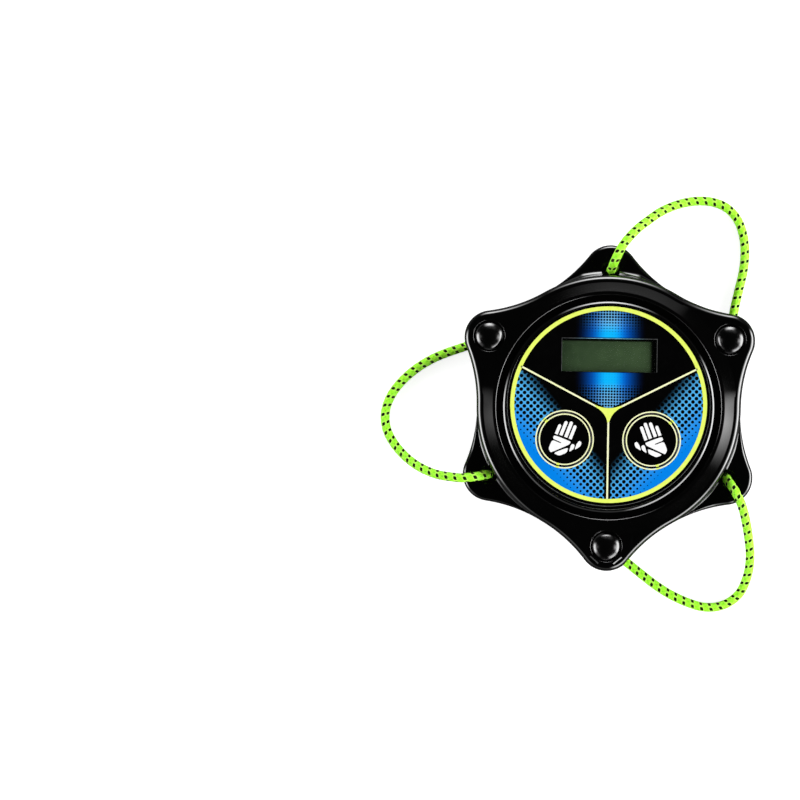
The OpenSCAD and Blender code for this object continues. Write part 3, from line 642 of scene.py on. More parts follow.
combine(upper_shell, [drill(post_r, z_post, z_ceiling + 0.5, at)
                      for at in around(screw_at, upper_turn)], "UNION")
cutters = [drill(screw_pilot, 8.5, 12, at) for at in around(screw_at, upper_turn)]
for at in around(dome_at, upper_turn):
    cutters += [drill(bore_r, 9.1, 14, at), drill(pocket_r, z_high_knot, 16.5, at),
                dome_recess_cutter(at)]
low_dome = around(dome_at, upper_turn)[2]
cutters += [slanted_notch(low_dome, heading) for heading in notch_headings]
combine(upper_shell, cutters, "DIFFERENCE")
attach(upper_shell, "root")
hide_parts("upper_shell")
print("upper shell", len(upper_shell.data.polygons), "faces")

# %% [markdown]
# ## The face ring, the domes and the pads
# These are turned parts, so a profile on a lathe gives each of them at once. The
# edges are broken in the profile itself, because a real moulded edge is never
# sharp. The face ring ends in a raised bead whose outer edge has a small chamfer,
# and that chamfer is what draws the thin bright line round the face.

# %% Face ring and its openings
bezel_r, bead_in, z_bead = 35.05, 34.05, 17.2
chamfer_w, chamfer_h = 0.47, 0.38
skirt_in, skirt_out, z_skirt = 30.9, 31.8, 13
window = (-15.75, 15.75, 11.7, 22.7)
window_ledge, window_t = 1, 0.7
glass_pocket = (-17.2, 17.2, 8.0, 24.0, 14, 15.4)
pad_places = {"left": (-14.45, -10.95), "right": (14.45, -10.95)}
pad_hole_r = 9.25
board_screws = [(x * s, y) for x, y in ((26, 3), (9, -26)) for s in (-1, 1)]
board_post_r, z_board_post, board_pilot_r = 2.2, 10.4, 0.95
z_over = 17.5

face_ring = lathe("face_ring", [
    (0, z_seat), (skirt_in, z_seat), (skirt_in, z_skirt), (skirt_out, z_skirt),
    (skirt_out, z_seat), (bezel_r, z_seat),
    (bezel_r, z_bead - chamfer_h), (bezel_r - 0.03, z_bead - chamfer_h + 0.06),
    (bezel_r - chamfer_w, z_bead), (bead_in + 0.1, z_bead), (bead_in, z_bead - 0.1),
    (bead_in, z_plate), (0, z_plate)], steps=240)
combine(face_ring, [drill(board_post_r, z_board_post, z_seat + 0.5, at)
                    for at in board_screws], "UNION")
x0, x1, y0, y1 = window
cutters = [block(*window, 14, z_over),
           block(x0 - window_ledge, x1 + window_ledge, y0 - window_ledge, y1 + window_ledge,
                 z_plate - window_t, z_over),
           block(*glass_pocket)]
cutters += [drill(pad_hole_r, 14, z_over, at, steps=120) for at in pad_places.values()]
cutters += [drill(board_pilot_r, 9.9, 15.3, at, steps=24) for at in board_screws]
combine(face_ring, cutters, "DIFFERENCE")
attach(face_ring, "root")
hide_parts("face_bezel")
print("face ring", len(face_ring.data.polygons), "faces")

# %% Dome caps
dome_r, dome_h = 4.75, 1.8
plug_r, plug_h = 3.4, 0.4
z_dome = z_top - dome_recess
sphere_r = (dome_r ** 2 + dome_h ** 2) / (2 * dome_h)
dome_profile = [(0, z_dome - plug_h), (plug_r, z_dome - plug_h), (plug_r, z_dome),
                (dome_r - 0.1, z_dome)]
dome_edge = math.degrees(math.asin((sphere_r - dome_h) / sphere_r))
dome_profile += corner((0, z_dome + dome_h - sphere_r), sphere_r, dome_edge + 1, 89, 24)
dome_profile.append((0, z_dome + dome_h))
domes = [lathe(f"{name}_dome", dome_profile, at)
         for name, at in zip(("right", "left", "bottom"), around(dome_at, upper_turn))]
for dome in domes:
    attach(dome, "root")
    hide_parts(dome.name + "_cap")
print("three domes, sphere radius", round(sphere_r, 2), "mm")

# %% Finger pads
pad_r, pad_edge = 9.0, 0.15
hub_r, pad_wall_in, flange_r = 2.5, 7.8, 10.2
z_pad_foot, z_flange, z_pad_under = 13.65, 14.55, 15.7
pad_profile = [
    (0, z_pad_foot), (hub_r, z_pad_foot), (hub_r, z_pad_under), (pad_wall_in, z_pad_under),
    (pad_wall_in, z_pad_foot), (flange_r, z_pad_foot), (flange_r, z_flange), (pad_r, z_flange),
    *corner((pad_r - pad_edge, z_label - pad_edge), pad_edge, 0, 90), (0, z_label)]
pads = {}
for side_name, at in pad_places.items():
    pads[side_name] = lathe(f"{side_name}_finger_pad", pad_profile, at, steps=144)
    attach(pads[side_name], f"{side_name}_pad")
    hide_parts(f"{side_name}_pad")
print("two finger pads")

# %% [markdown]
# ## The printed lines
# The label's lime ring, its three dividing lines and the marks on the pads are
# screen printed: a very thin, slightly raised layer of ink. Flat shapes that are
# 0.03 mm thick give that crisp edge in any view. Each shape is a closed outline;
# a helper fills it and gives it its thickness. The label film itself is cut out, so
# its edge shows as a thin grey line round the face and along the window: partly the
# bare edge, partly a painted highlight in place of the light that edge catches.

# %% Ink shapes
ink_t = 0.03


def ink(name, outlines, z, holes=False):
    """Thin flat ink from closed outlines; with holes, the second is cut from the first."""
    mesh = bpy.data.meshes.new(name)
    work = bmesh.new()
    for outline in outlines:
        points = [work.verts.new((x * MM, y * MM, z * MM)) for x, y in outline]
        edges = [work.edges.new((points[i], points[(i + 1) % len(points)]))
                 for i in range(len(points))]
        if not holes:
            bmesh.ops.triangle_fill(work, edges=edges, use_beauty=True)
    if holes:
        bmesh.ops.triangle_fill(work, edges=work.edges[:], use_beauty=True)
    bmesh.ops.recalc_face_normals(work, faces=work.faces)
    if work.faces and sum(f.normal.z for f in work.faces) < 0:
        bmesh.ops.reverse_faces(work, faces=work.faces)
    grown = bmesh.ops.extrude_face_region(work, geom=work.faces[:])["geom"]
    up = [g for g in grown if isinstance(g, bmesh.types.BMVert)]
    bmesh.ops.translate(work, verts=up, vec=(0, 0, ink_t * MM))
    bmesh.ops.recalc_face_normals(work, faces=work.faces)
    work.to_mesh(mesh)
    work.free()
    piece = bpy.data.objects.new(name, mesh)
    bpy.context.scene.collection.objects.link(piece)
    return piece


def circle(radius, at=(0, 0), steps=240):
    """A circle as an outline."""
    return [(at[0] + radius * math.cos(2 * math.pi * i / steps),
             at[1] + radius * math.sin(2 * math.pi * i / steps)) for i in range(steps)]


def arc_band(inner, outer, middle, half, at=(0, 0), steps=8):
    """A short piece of a ring, half its angle to each side of the middle."""
    angles = [math.radians(middle - half + 2 * half * i / steps) for i in range(steps + 1)]
    return [(at[0] + r * math.cos(a), at[1] + r * math.sin(a))
            for r, sweep in ((outer, angles), (inner, angles[::-1])) for a in sweep]


print("ink is", ink_t, "mm thick")

# %% Lime ring, dividing lines and their junction
layout_up = 0.8
lime_in, lime_out = 31.35, 32.7
line_half = 0.29
arm_outer, arm_inner = (29.3, 13.1), (4.7, 0.45)
stem_top, stem_end = -5.3, layout_up - lime_in - 0.1


def slanted_line(start, end, half):
    """A straight line of some width as an outline."""
    dx, dy = end[0] - start[0], end[1] - start[1]
    n = math.hypot(dx, dy)
    nx, ny = -dy / n * half, dx / n * half
    return [(start[0] + nx, start[1] + ny), (start[0] - nx, start[1] - ny),
            (end[0] - nx, end[1] - ny), (end[0] + nx, end[1] + ny)]


def bent(start, middle, end, steps=12):
    """Points of a curve that leaves start and reaches end, drawn towards the middle."""
    return [tuple((1 - t) ** 2 * s + 2 * t * (1 - t) * m + t * t * e
                  for s, m, e in zip(start, middle, end))
            for t in (i / steps for i in range(steps))]


lime_ring = ink("lime_ring", [circle(lime_out, (0, layout_up)), circle(lime_in, (0, layout_up))],
                z_label, holes=True)
arm_slope = (arm_outer[1] - arm_inner[1]) / (arm_outer[0] - arm_inner[0])
rise = line_half * math.hypot(1, arm_slope)
arm_lap = (arm_inner[0] - 0.6, arm_inner[1] - 0.6 * arm_slope)
junction = (
    bent((-arm_inner[0], arm_inner[1] + rise), (0, -1.5), (arm_inner[0], arm_inner[1] + rise))
    + bent((arm_inner[0], arm_inner[1] - rise), (0.9, -1.7), (line_half, stem_top))
    + bent((-line_half, stem_top), (-0.9, -1.7), (-arm_inner[0], arm_inner[1] - rise)))
dividers = ink("dividing_lines", [
    slanted_line((-arm_outer[0], arm_outer[1]), (-arm_lap[0], arm_lap[1]), line_half),
    slanted_line((arm_lap[0], arm_lap[1]), (arm_outer[0], arm_outer[1]), line_half),
    slanted_line((0, stem_top + 0.6), (0, stem_end), line_half)], z_label)
junction_mark = ink("junction_mark", [junction], z_label + ink_t / 2)
for piece in (lime_ring, dividers, junction_mark):
    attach(piece, "root")
print("lime ring", lime_in, "to", lime_out, "mm")

# %% [markdown]
# ### The hands on the pads
# Each pad shows where a hand goes: a plain open palm in white, mirrored from one
# side to the other, inside two thin rings. The fingers are rounded strips side by
# side, and the creases are gaps between the parts of the palm.

# %% Rings and hands
FINGERS = (
    ((-1.74, 4.55), (-2.86, 1.72), 0.53), ((0.40, 5.62), (-1.30, 1.30), 0.56),
    ((2.18, 5.50), (0.38, 0.68), 0.57), ((3.46, 4.26), (1.88, 0.10), 0.54))
PALM_PARTS = (
    [(-3.55, 1.42), (2.05, -0.72), (2.00, -1.25), (1.45, -1.85), (-4.35, -4.45), (-4.75, -4.45),
     (-5.38, -3.10), (-4.18, -0.22), (-1.35, -1.38), (-0.98, -1.14), (-4.00, 0.14)],
    [(-3.78, -4.72), (-1.70, -5.66), (0.85, -4.50), (1.32, -2.72)],
    [(1.55, -4.30), (2.20, -1.90), (2.80, -1.50), (3.42, -1.92), (3.38, -2.60), (2.95, -3.45)],
    [(3.45, -3.55), (4.08, -1.60), (5.00, -0.42), (5.72, -0.90), (5.70, -1.60), (5.25, -2.45)])


def finger(tip, base, half, steps=10):
    """A strip with a round tip and a square foot."""
    dx, dy = tip[0] - base[0], tip[1] - base[1]
    n = math.hypot(dx, dy)
    heading = math.atan2(dy, dx)
    cap = [(tip[0] + half * math.cos(heading - math.pi / 2 + math.pi * i / steps),
            tip[1] + half * math.sin(heading - math.pi / 2 + math.pi * i / steps))
           for i in range(steps + 1)]
    nx, ny = -dy / n * half, dx / n * half
    return cap + [(base[0] + nx, base[1] + ny), (base[0] - nx, base[1] - ny)]


def softened(outline, cut=0.16):
    """Cuts each corner twice, so that the printed shape has soft corners."""
    for _ in range(2):
        nxt = outline[1:] + outline[:1]
        outline = [p for a, b in zip(outline, nxt) for p in (
            (a[0] + (b[0] - a[0]) * cut, a[1] + (b[1] - a[1]) * cut),
            (b[0] + (a[0] - b[0]) * cut, b[1] + (a[1] - b[1]) * cut))]
    return outline


hand = [finger(*f) for f in FINGERS] + [softened(p) for p in PALM_PARTS]
hand_size = 0.98
inner_band, outer_band = (8.58, 8.17), (9.73, 9.31)
mark_angles, mark_half = (136, 256), 3.4
mark_on_pad, mark_on_label = (8.14, 8.84), (9.27, 9.76)
pad_ink, label_ink, bridge_ink = [], [], []
for side_name, at in pad_places.items():
    flip = 1 if side_name == "left" else -1
    mirrored = [[(at[0] + flip * hand_size * x, at[1] + hand_size * y) for x, y in part]
                for part in hand]
    palm = ink(f"{side_name}_hand", mirrored, z_label)
    inner_ring = ink(f"{side_name}_inner_ring", [circle(r, at, 144) for r in inner_band],
                     z_label, holes=True)
    outer_ring = ink(f"{side_name}_outer_ring", [circle(r, at, 144) for r in outer_band],
                     z_label, holes=True)
    angles = [a if flip > 0 else 180 - a for a in mark_angles]
    on_label = ink(f"{side_name}_ring_marks", [arc_band(*mark_on_label, a, mark_half, at)
                                               for a in angles], z_label + ink_t / 2)
    on_pad = ink(f"{side_name}_pad_marks", [arc_band(*mark_on_pad, a, mark_half, at)
                                            for a in angles], z_label + ink_t / 2)
    for piece in (palm, inner_ring, on_pad):
        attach(piece, f"{side_name}_pad")
    for piece in (outer_ring, on_label):
        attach(piece, "root")
    pad_ink += [palm]
    label_ink += [inner_ring, outer_ring]
    bridge_ink += [on_label, on_pad]
print("ink pieces", len(pad_ink) + len(label_ink) + len(bridge_ink))

# %% The cut edges of the label film
rim_in, rim_out = 33.66, 33.84
rim_foot, rim_side, rim_top = z_plate - 0.05, z_label + 0.02, z_label + 0.06
cut_w = 0.16

label_rim = lathe("label_cut_edge", [
    (rim_in, rim_foot), (rim_out, rim_foot), (rim_out, rim_side), (rim_out - 0.04, rim_top),
    (rim_in + 0.04, rim_top), (rim_in, rim_side)], (0, layout_up), 240)
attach(label_rim, "root")
window_rim = ink("window_cut_edge", [
    [(x0 - cut_w, y0), (x0 - cut_w, y1 + cut_w), (x1 + cut_w, y1 + cut_w), (x1 + cut_w, y0),
     (x1, y0), (x1, y1), (x0, y1), (x0, y0)]], z_label)
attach(window_rim, "root")
print("label edge", rim_in, "to", rim_out, "mm")

# %% [markdown]
# ## The small parts that stay as the CAD has them
# Screws, feet, the battery cover and everything on the circuit board have the right
# shape already. They only need what a machine drawing leaves out: a small bevel on
# each edge. The imported triangles are welded first, so that the bevel finds the
# real edges, and no bevel is wider than the part's finest wall allows.

# %% Bevels on the carried-over parts
BEVELS = {
    "battery_cover": 0.15, "case_screws": 0.12, "board_screws": 0.08, "top_foot": 0.35,
    "left_foot": 0.35, "right_foot": 0.35, "window_lens": 0.08, "face_label": 0.04,
    "lcd_glass": 0.06, "lcd_reflector": 0.03, "lcd_frame": 0.1, "zebra_strip": 0.12,
    "left_switch_base": 0.15, "right_switch_base": 0.15, "left_switch_plunger": 0.2,
    "right_switch_plunger": 0.2, "main_board": 0.06, "controller_blob": 0.0,
    "board_components": 0.06, "crystal": 0.15, "buzzer": 0.25, "coin_cell": 0.2,
    "minus_contact": 0.04, "plus_contact": 0.04}

for node, width in BEVELS.items():
    carried = frame["nodes"][node]
    weld = carried.modifiers.new("weld", "WELD")
    weld.merge_threshold = 1e-6
    if width:
        bevel = carried.modifiers.new("bevel", "BEVEL")
        bevel.width = width * MM
        bevel.segments = 3
        bevel.limit_method = "ANGLE"
        bevel.angle_limit = math.radians(38)
        bevel.harden_normals = False
    even = carried.modifiers.new("even normals", "WEIGHTED_NORMAL")
    even.keep_sharp = True
print(len(BEVELS), "carried-over nodes bevelled")

# %% [markdown]
# ## Ink, plastic and cord: how the finishes are made
# A shader in Blender is a graph of nodes. Plain arithmetic is much easier to read as
# a formula, so a small class lets a node's output be added, multiplied and compared
# as if it were a number. Effects that several finishes need, such as scuffs or dust,
# are node groups with named sockets, built once and placed with other values.

# %% Arithmetic on node outputs
class Wire:
    """A value in a node tree, on which ordinary arithmetic adds Math nodes."""

    def __init__(self, tree, socket):
        self.tree, self.socket = tree, socket

    def math(self, kind, *others):
        made = self.tree.nodes.new("ShaderNodeMath")
        made.operation = kind
        for slot, value in zip(made.inputs, (self, *others)):
            feed(self.tree, slot, value)
        return Wire(self.tree, made.outputs[0])

    def __add__(self, other): return self.math("ADD", other)
    def __radd__(self, other): return self.math("ADD", other)
    def __sub__(self, other): return self.math("SUBTRACT", other)
    def __rsub__(self, other): return (self * -1) + other
    def __mul__(self, other): return self.math("MULTIPLY", other)
    def __rmul__(self, other): return self.math("MULTIPLY", other)
    def __truediv__(self, other): return self.math("DIVIDE", other)
    def __abs__(self): return self.math("ABSOLUTE")

    def least(self, other): return self.math("MINIMUM", other)
    def most(self, other): return self.math("MAXIMUM", other)
    def part(self): return self.math("FRACT")
    def root(self): return self.math("SQRT")
    def power(self, n): return self.math("POWER", n)

    def ramp(self, start, end, low=0.0, high=1.0, soft=True):
        """Goes from low to high as the value goes from start to end, and stays there."""
        made = self.tree.nodes.new("ShaderNodeMapRange")
        made.interpolation_type = "SMOOTHSTEP" if soft else "LINEAR"
        for slot, value in zip(made.inputs, (self, start, end, low, high)):
            feed(self.tree, slot, value)
        return Wire(self.tree, made.outputs[0])


def feed(tree, slot, value):
    """Links a wire or sets a plain value."""
    if isinstance(value, Wire):
        tree.links.new(value.socket, slot)
    elif value is not None:
        slot.default_value = value


def node(tree, kind, inputs=None, out=0, **settings):
    """Adds a node, sets it up and gives one of its outputs as a wire."""
    made = tree.nodes.new("ShaderNode" + kind)
    for key, value in settings.items():
        setattr(made, key, value)
    for key, value in (inputs or {}).items():
        feed(tree, made.inputs[key], value)
    return Wire(tree, made.outputs[out])


def place_mm(tree):
    """A point of the piece in millimetres, as a vector and as x, y and z."""
    spot = node(tree, "TexCoord", out="Object")
    scaled = node(tree, "VectorMath", {0: spot, 1: (1000, 1000, 1000)}, operation="MULTIPLY")
    split = tree.nodes.new("ShaderNodeSeparateXYZ")
    feed(tree, split.inputs[0], scaled)
    return scaled, [Wire(tree, o) for o in split.outputs]


def mix_colour(tree, share, first, second):
    """Two colours, plain or wired, mixed by a share."""
    made = tree.nodes.new("ShaderNodeMix")
    made.data_type = "RGBA"
    for key, value in (("Factor_Float", share), ("A_Color", first), ("B_Color", second)):
        slot = next(s for s in made.inputs if s.identifier == key)
        feed(tree, slot, (*value, 1) if isinstance(value, tuple) else value)
    return Wire(tree, next(s for s in made.outputs if s.identifier == "Result_Color"))


def srgb(*levels):
    """A colour as the eye reads it, 0 to 255, in the linear values of a shader."""
    return tuple((v / 255 / 12.92) if v <= 10 else ((v / 255 + 0.055) / 1.055) ** 2.4
                 for v in levels)


def printed(*levels):
    """An ink's colour as it looks under the studio's light, which is a little above white."""
    return tuple(0.85 * level for level in srgb(*levels))


print("arithmetic on node outputs is ready")

# %% [markdown]
# ### Effects that several finishes share
# Real plastic has four faults that a plain colour lacks. Fine scuffs turn a mirror
# into a slightly uneven one, the mould leaves a grain, edges that rub turn paler and
# smoother, and dust settles on whatever faces up. Each is one group. The printed
# dots of the label are one too, because two screens of dots use it.

# %% Shared node groups
def new_group(name, inputs, outputs):
    """An empty node group with float inputs and outputs, and its two end nodes."""
    group = bpy.data.node_groups.new(name, "ShaderNodeTree")
    for label, value in inputs.items():
        slot = group.interface.new_socket(label, in_out="INPUT", socket_type="NodeSocketFloat")
        slot.default_value = value
    for label in outputs:
        group.interface.new_socket(label, in_out="OUTPUT", socket_type="NodeSocketFloat")
    start, end = group.nodes.new("NodeGroupInput"), group.nodes.new("NodeGroupOutput")
    return group, {s.name: Wire(group, s) for s in start.outputs if s.name}, end


def noise(tree, vector, scale, detail=3.0, rough=0.55, distortion=0.0):
    """Noise that varies over one millimetre divided by the scale."""
    return node(tree, "TexNoise", {"Vector": vector, "Scale": scale, "Detail": detail,
                                   "Roughness": rough, "Distortion": distortion})


def make_scuffs():
    """Uneven gloss and faint hair scratches."""
    tree, given, end = new_group("fine_scuffs", {"Gloss": 0.2, "Unevenness": 0.1,
                                                 "Scratches": 0.5}, ("Roughness", "Height"))
    spot, _ = place_mm(tree)
    cloud = noise(tree, spot, 0.12, 5)
    fine = noise(tree, spot, 1.6, 2)
    lines = []
    for turn, stretch in ((0.5, 30), (1.9, 24), (2.7, 36)):
        turned = node(tree, "VectorRotate", {"Vector": spot, "Angle": turn})
        long = node(tree, "VectorMath", {0: turned, 1: (0.12, stretch * 0.12, 0.12)},
                    operation="MULTIPLY")
        lines.append(noise(tree, long, 1.0, 4, 0.6, 0.3).ramp(0.70, 0.76))
    scratch = lines[0].most(lines[1]).most(lines[2]) * given["Scratches"]
    rough = given["Gloss"] + (cloud - 0.5) * given["Unevenness"] * 2 \
        + (fine - 0.5) * given["Unevenness"] * 0.4 + scratch * 0.22
    feed(tree, end.inputs["Roughness"], rough.math("MAXIMUM", 0.03))
    feed(tree, end.inputs["Height"], scratch * -1 + fine * 0.12)
    return tree


def make_grain():
    """The fine pebbled grain that a spark-eroded mould leaves."""
    tree, given, end = new_group("moulded_grain", {"Cells per mm": 4.0, "Depth": 1.0},
                                 ("Height",))
    spot, _ = place_mm(tree)
    cells = node(tree, "TexVoronoi", {"Vector": spot, "Scale": given["Cells per mm"]},
                 out="Distance", feature="SMOOTH_F1")
    pits = noise(tree, spot, given["Cells per mm"] * 1.7, 3)
    feed(tree, end.inputs["Height"], (cells * 0.7 + pits * 0.5) * given["Depth"])
    return tree


def make_worn_edges():
    """1 on convex edges that rub, broken up so that it never looks drawn."""
    tree, given, end = new_group("worn_edges", {"Reach": 0.5, "Breaks": 0.6}, ("Mask",))
    spot, _ = place_mm(tree)
    bend = node(tree, "NewGeometry", out="Pointiness")
    ragged = noise(tree, spot, 0.9, 5).ramp(0.35, 0.7)
    edge = bend.ramp(0.55, 0.62) * given["Reach"]
    feed(tree, end.inputs["Mask"], edge * (ragged * given["Breaks"] + (1 - given["Breaks"])))
    return tree


def make_dust():
    """Sparse specks and a thin film on whatever faces up."""
    tree, given, end = new_group("settled_dust", {"Amount": 0.3}, ("Mask",))
    spot, _ = place_mm(tree)
    split = tree.nodes.new("ShaderNodeSeparateXYZ")
    feed(tree, split.inputs[0], node(tree, "NewGeometry", out="Normal"))
    up = Wire(tree, split.outputs[2]).ramp(0.3, 0.95)
    specks = noise(tree, spot, 3.2, 2).ramp(0.735, 0.78)
    film = noise(tree, spot, 0.35, 5).ramp(0.45, 0.8) * 0.22
    feed(tree, end.inputs["Mask"], (specks + film) * up * given["Amount"])
    return tree


def make_dot_screen():
    """Printed dots on a grid: square to it, or with each second row moved half on."""
    tree, given, end = new_group("dot_screen", {
        "X": 0.0, "Y": 0.0, "Pitch": 1.0, "Radius": 0.3, "Squareness": 0.0,
        "Staggered": 0.0}, ("Dots",))

    def away(shift):
        fx = abs((given["X"] / given["Pitch"] + shift).part() - 0.5) * given["Pitch"]
        fy = abs((given["Y"] / given["Pitch"] + shift).part() - 0.5) * given["Pitch"]
        return (fx * fx + fy * fy).root(), fx.most(fy)

    round_a, square_a = away(0.0)
    round_b, _ = away(0.5)
    straight = round_a * (1 - given["Squareness"]) + square_a * given["Squareness"]
    near = straight.least(round_b + (1 - given["Staggered"]) * 100)
    edge = 0.05
    dots = (given["Radius"] - near).ramp(-edge, edge) * given["Radius"].ramp(0.02, 0.12)
    feed(tree, end.inputs["Dots"], dots)
    return tree


SCUFFS, GRAIN, EDGES, DUST, DOTS = (make_scuffs(), make_grain(), make_worn_edges(),
                                    make_dust(), make_dot_screen())


def use(tree, group, **values):
    """Places a group in a material, with its own values."""
    made = tree.nodes.new("ShaderNodeGroup")
    made.node_tree = group
    for label, value in values.items():
        feed(tree, made.inputs[label.replace("_", " ")], value)
    return [Wire(tree, o) for o in made.outputs]


print("shared groups:", [g.name for g in (SCUFFS, GRAIN, EDGES, DUST, DOTS)])

# %% A material with one Principled shader
def finish(name, **plain):
    """A new material; plain values are set straight on the shader's own sockets."""
    material = bpy.data.materials.new(name)
    material.use_nodes = True
    tree = material.node_tree
    shader = tree.nodes["Principled BSDF"]
    for label, value in plain.items():
        slot = shader.inputs[label.replace("_", " ")]
        slot.default_value = (*value, 1) if slot.type == "RGBA" else value
    return material, tree, shader


def bump(tree, shader, height, distance_mm):
    """Feeds a height through a Bump node into the shader's normal."""
    raised = node(tree, "Bump", {"Height": height, "Distance": distance_mm * MM,
                                 "Strength": 1.0})
    feed(tree, shader.inputs["Normal"], raised)


def wear(piece, material):
    """Gives a piece its material and nothing else."""
    piece.data.materials.clear()
    piece.data.materials.append(material)


print("finish, bump and wear are ready")

# %% [markdown]
# ## Black plastic
# Four kinds. The shells are polished, the face ring and the pads shine like a piano
# key, the domes are a shade more satin, and what lies inside is plain. Black plastic
# is nearly all reflection, so its colour is very dark and its roughness tells.

# %% Black finishes
def black_plastic(name, gloss, unevenness, scratches, grain, colour, dust, skin=0.03):
    """A moulded black plastic, from satin to polished; skin is its outer layer's roughness."""
    material, tree, shader = finish(name, Specular_IOR_Level=0.5, Coat_Weight=0.8,
                                    Coat_Roughness=skin)
    rough, scuff = use(tree, SCUFFS, Gloss=gloss, Unevenness=unevenness, Scratches=scratches)
    pebbles, = use(tree, GRAIN, Cells_per_mm=3.2, Depth=grain)
    rubbed, = use(tree, EDGES, Reach=0.35, Breaks=0.7)
    dusty, = use(tree, DUST, Amount=dust)
    base = mix_colour(tree, rubbed * 0.4, srgb(*colour), srgb(24, 24, 26))
    base = mix_colour(tree, dusty, base, srgb(60, 60, 58))
    feed(tree, shader.inputs["Base Color"], base)
    feed(tree, shader.inputs["Roughness"], rough + dusty * 0.5 + rubbed * -0.03)
    bump(tree, shader, scuff * 0.15 + pebbles, 0.004)
    return material


shell_black = black_plastic("polished_shell_black", 0.11, 0.03, 0.15, 0.06, (2, 2, 2), 0.02)
gloss_black = black_plastic("piano_black", 0.07, 0.02, 0.12, 0.0, (2, 2, 2), 0.01)
satin_black = black_plastic("satin_cap_black", 0.15, 0.02, 0.15, 0.03, (2, 2, 2), 0.0, 0.14)
inner_black = black_plastic("plain_black", 0.42, 0.08, 0.1, 0.8, (16, 16, 18), 0.0)
for piece in (lower_shell, upper_shell):
    wear(piece, shell_black)
for piece in (face_ring, *pads.values()):
    wear(piece, gloss_black)
for dome in domes:
    wear(dome, satin_black)
for name in ("battery_cover", "lcd_frame", "left_switch_base", "right_switch_base", "buzzer"):
    wear(frame["nodes"][name], inner_black if name != "battery_cover" else shell_black)
print("black finishes:", shell_black.name, gloss_black.name, satin_black.name, inner_black.name)

# %% [markdown]
# ## The printed label
# The artwork is gradients and two dot screens, which is just what formulae can draw.
# In both lower fields everything follows how far a point lies outward and down: near
# the middle the print is black, then a light blue with large dots, and the dots
# shrink to nothing as the blue turns solid. The upper field has a glow behind the
# display, with a finer screen of squarish dots above and below it. The place under
# the display where such a label carries a word is left as plain glow.

# %% Label artwork
SKY, DEEP = printed(82, 180, 242), printed(2, 132, 234)
INK_BLACK = srgb(1, 1, 1)
label_print, tree, shader = finish("printed_label", Specular_IOR_Level=0.5,
                                   Coat_Roughness=0.06)
spot, (x, y, z) = place_mm(tree)
side = abs(x)
arm_y = arm_inner[1] + (side - arm_inner[0]) * arm_slope
above_arm = (y - arm_y) / math.hypot(1, arm_slope)
line_gap = line_half + 0.7

lit = (side * 0.78 - y * 0.62).ramp(12.2, 19.6)
outward = side * 0.74 - y * 0.68
inside_ring = (x * x + (y - layout_up).power(2)).root().ramp(lime_in + 0.5, lime_in + 0.4)
wide_dots, = use(tree, DOTS, X=side + 0.144, Y=y * 1.004 + 1.22, Pitch=2.25, Staggered=1.0,
                 Radius=outward.ramp(22.6, 29.4, 0.63, 0.0, soft=False))
lower_field = (above_arm * -1).ramp(line_gap, line_gap + 0.15) \
    * side.ramp(line_gap, line_gap + 0.15)
lower_colour = mix_colour(tree, outward.ramp(17.5, 28.5), SKY, DEEP)
lower_light = lit * lower_field * (1 - wide_dots)

fine_radius = y.ramp(24.0, 30.0, 0.08, 0.38, soft=False).most(y.ramp(9.2, 5.4, 0.0, 0.36))
fine_dots, = use(tree, DOTS, X=x + 0.475, Y=y, Pitch=0.95, Radius=fine_radius, Squareness=0.45)
glow = abs(x - 0.3).ramp(12.6, 1.2).power(1.9)
behind = y.ramp(23.2, 23.0) * y.ramp(11.3, 11.6)
upper_light = (glow * (1 - behind)) * (1 - fine_dots) * above_arm.ramp(0.95, 1.15)
paleness = y.ramp(24.5, 29.5).most(y.ramp(8.5, 3.0))
deep_glow = mix_colour(tree, paleness, printed(3, 118, 252), printed(58, 142, 238))
bright_glow = mix_colour(tree, paleness, printed(12, 184, 254), printed(104, 180, 232))
upper_colour = mix_colour(tree, side.ramp(6.5, 0.5), deep_glow, bright_glow)

colour = mix_colour(tree, lower_light * inside_ring, INK_BLACK, lower_colour)
colour = mix_colour(tree, upper_light * inside_ring, colour, upper_colour)
rough, scuff = use(tree, SCUFFS, Gloss=0.2, Unevenness=0.05, Scratches=0.25)
dusty, = use(tree, DUST, Amount=0.015)
feed(tree, shader.inputs["Base Color"], mix_colour(tree, dusty, colour, srgb(110, 110, 108)))
feed(tree, shader.inputs["Roughness"], rough + dusty * 0.4)
bump(tree, shader, scuff * 0.3 + lower_light * 0.4, 0.004)
wear(frame["nodes"]["face_label"], label_print)
print("label material has", len(tree.nodes), "nodes")

# %% [markdown]
# ## Inks
# Screen-printed ink is a touch uneven: a little thicker here and there, and with a
# fine orange-peel surface. Lime, cream and white share one recipe. The cut edge of
# the film is grey and a little chipped; that grey is partly the bare edge and partly a
# painted highlight. By the top of the display it is painted the glow's blue, as a
# painted reflection of the bright print beside it.

# %% Ink finishes
def printed_ink(name, colour, second):
    """An opaque ink that drifts between two close colours."""
    material, tree, shader = finish(name, Specular_IOR_Level=0.4)
    spot, _ = place_mm(tree)
    drift = noise(tree, spot, 0.8, 4).ramp(0.35, 0.65)
    rough, _ = use(tree, SCUFFS, Gloss=0.34, Unevenness=0.08, Scratches=0.2)
    feed(tree, shader.inputs["Base Color"],
         mix_colour(tree, drift, printed(*colour), printed(*second)))
    feed(tree, shader.inputs["Roughness"], rough)
    bump(tree, shader, noise(tree, spot, 6, 2), 0.004)
    return material


lime_ink = printed_ink("lime_ink", (232, 251, 102), (239, 254, 118))
cream_ink = printed_ink("cream_ink", (248, 253, 190), (253, 254, 212))
white_ink = printed_ink("white_ink", (250, 250, 251), (255, 255, 255))
for piece in (lime_ring, junction_mark, *bridge_ink):
    wear(piece, lime_ink)
for piece in (dividers, *label_ink):
    wear(piece, cream_ink)
for piece in pad_ink:
    wear(piece, white_ink)
print("three inks")

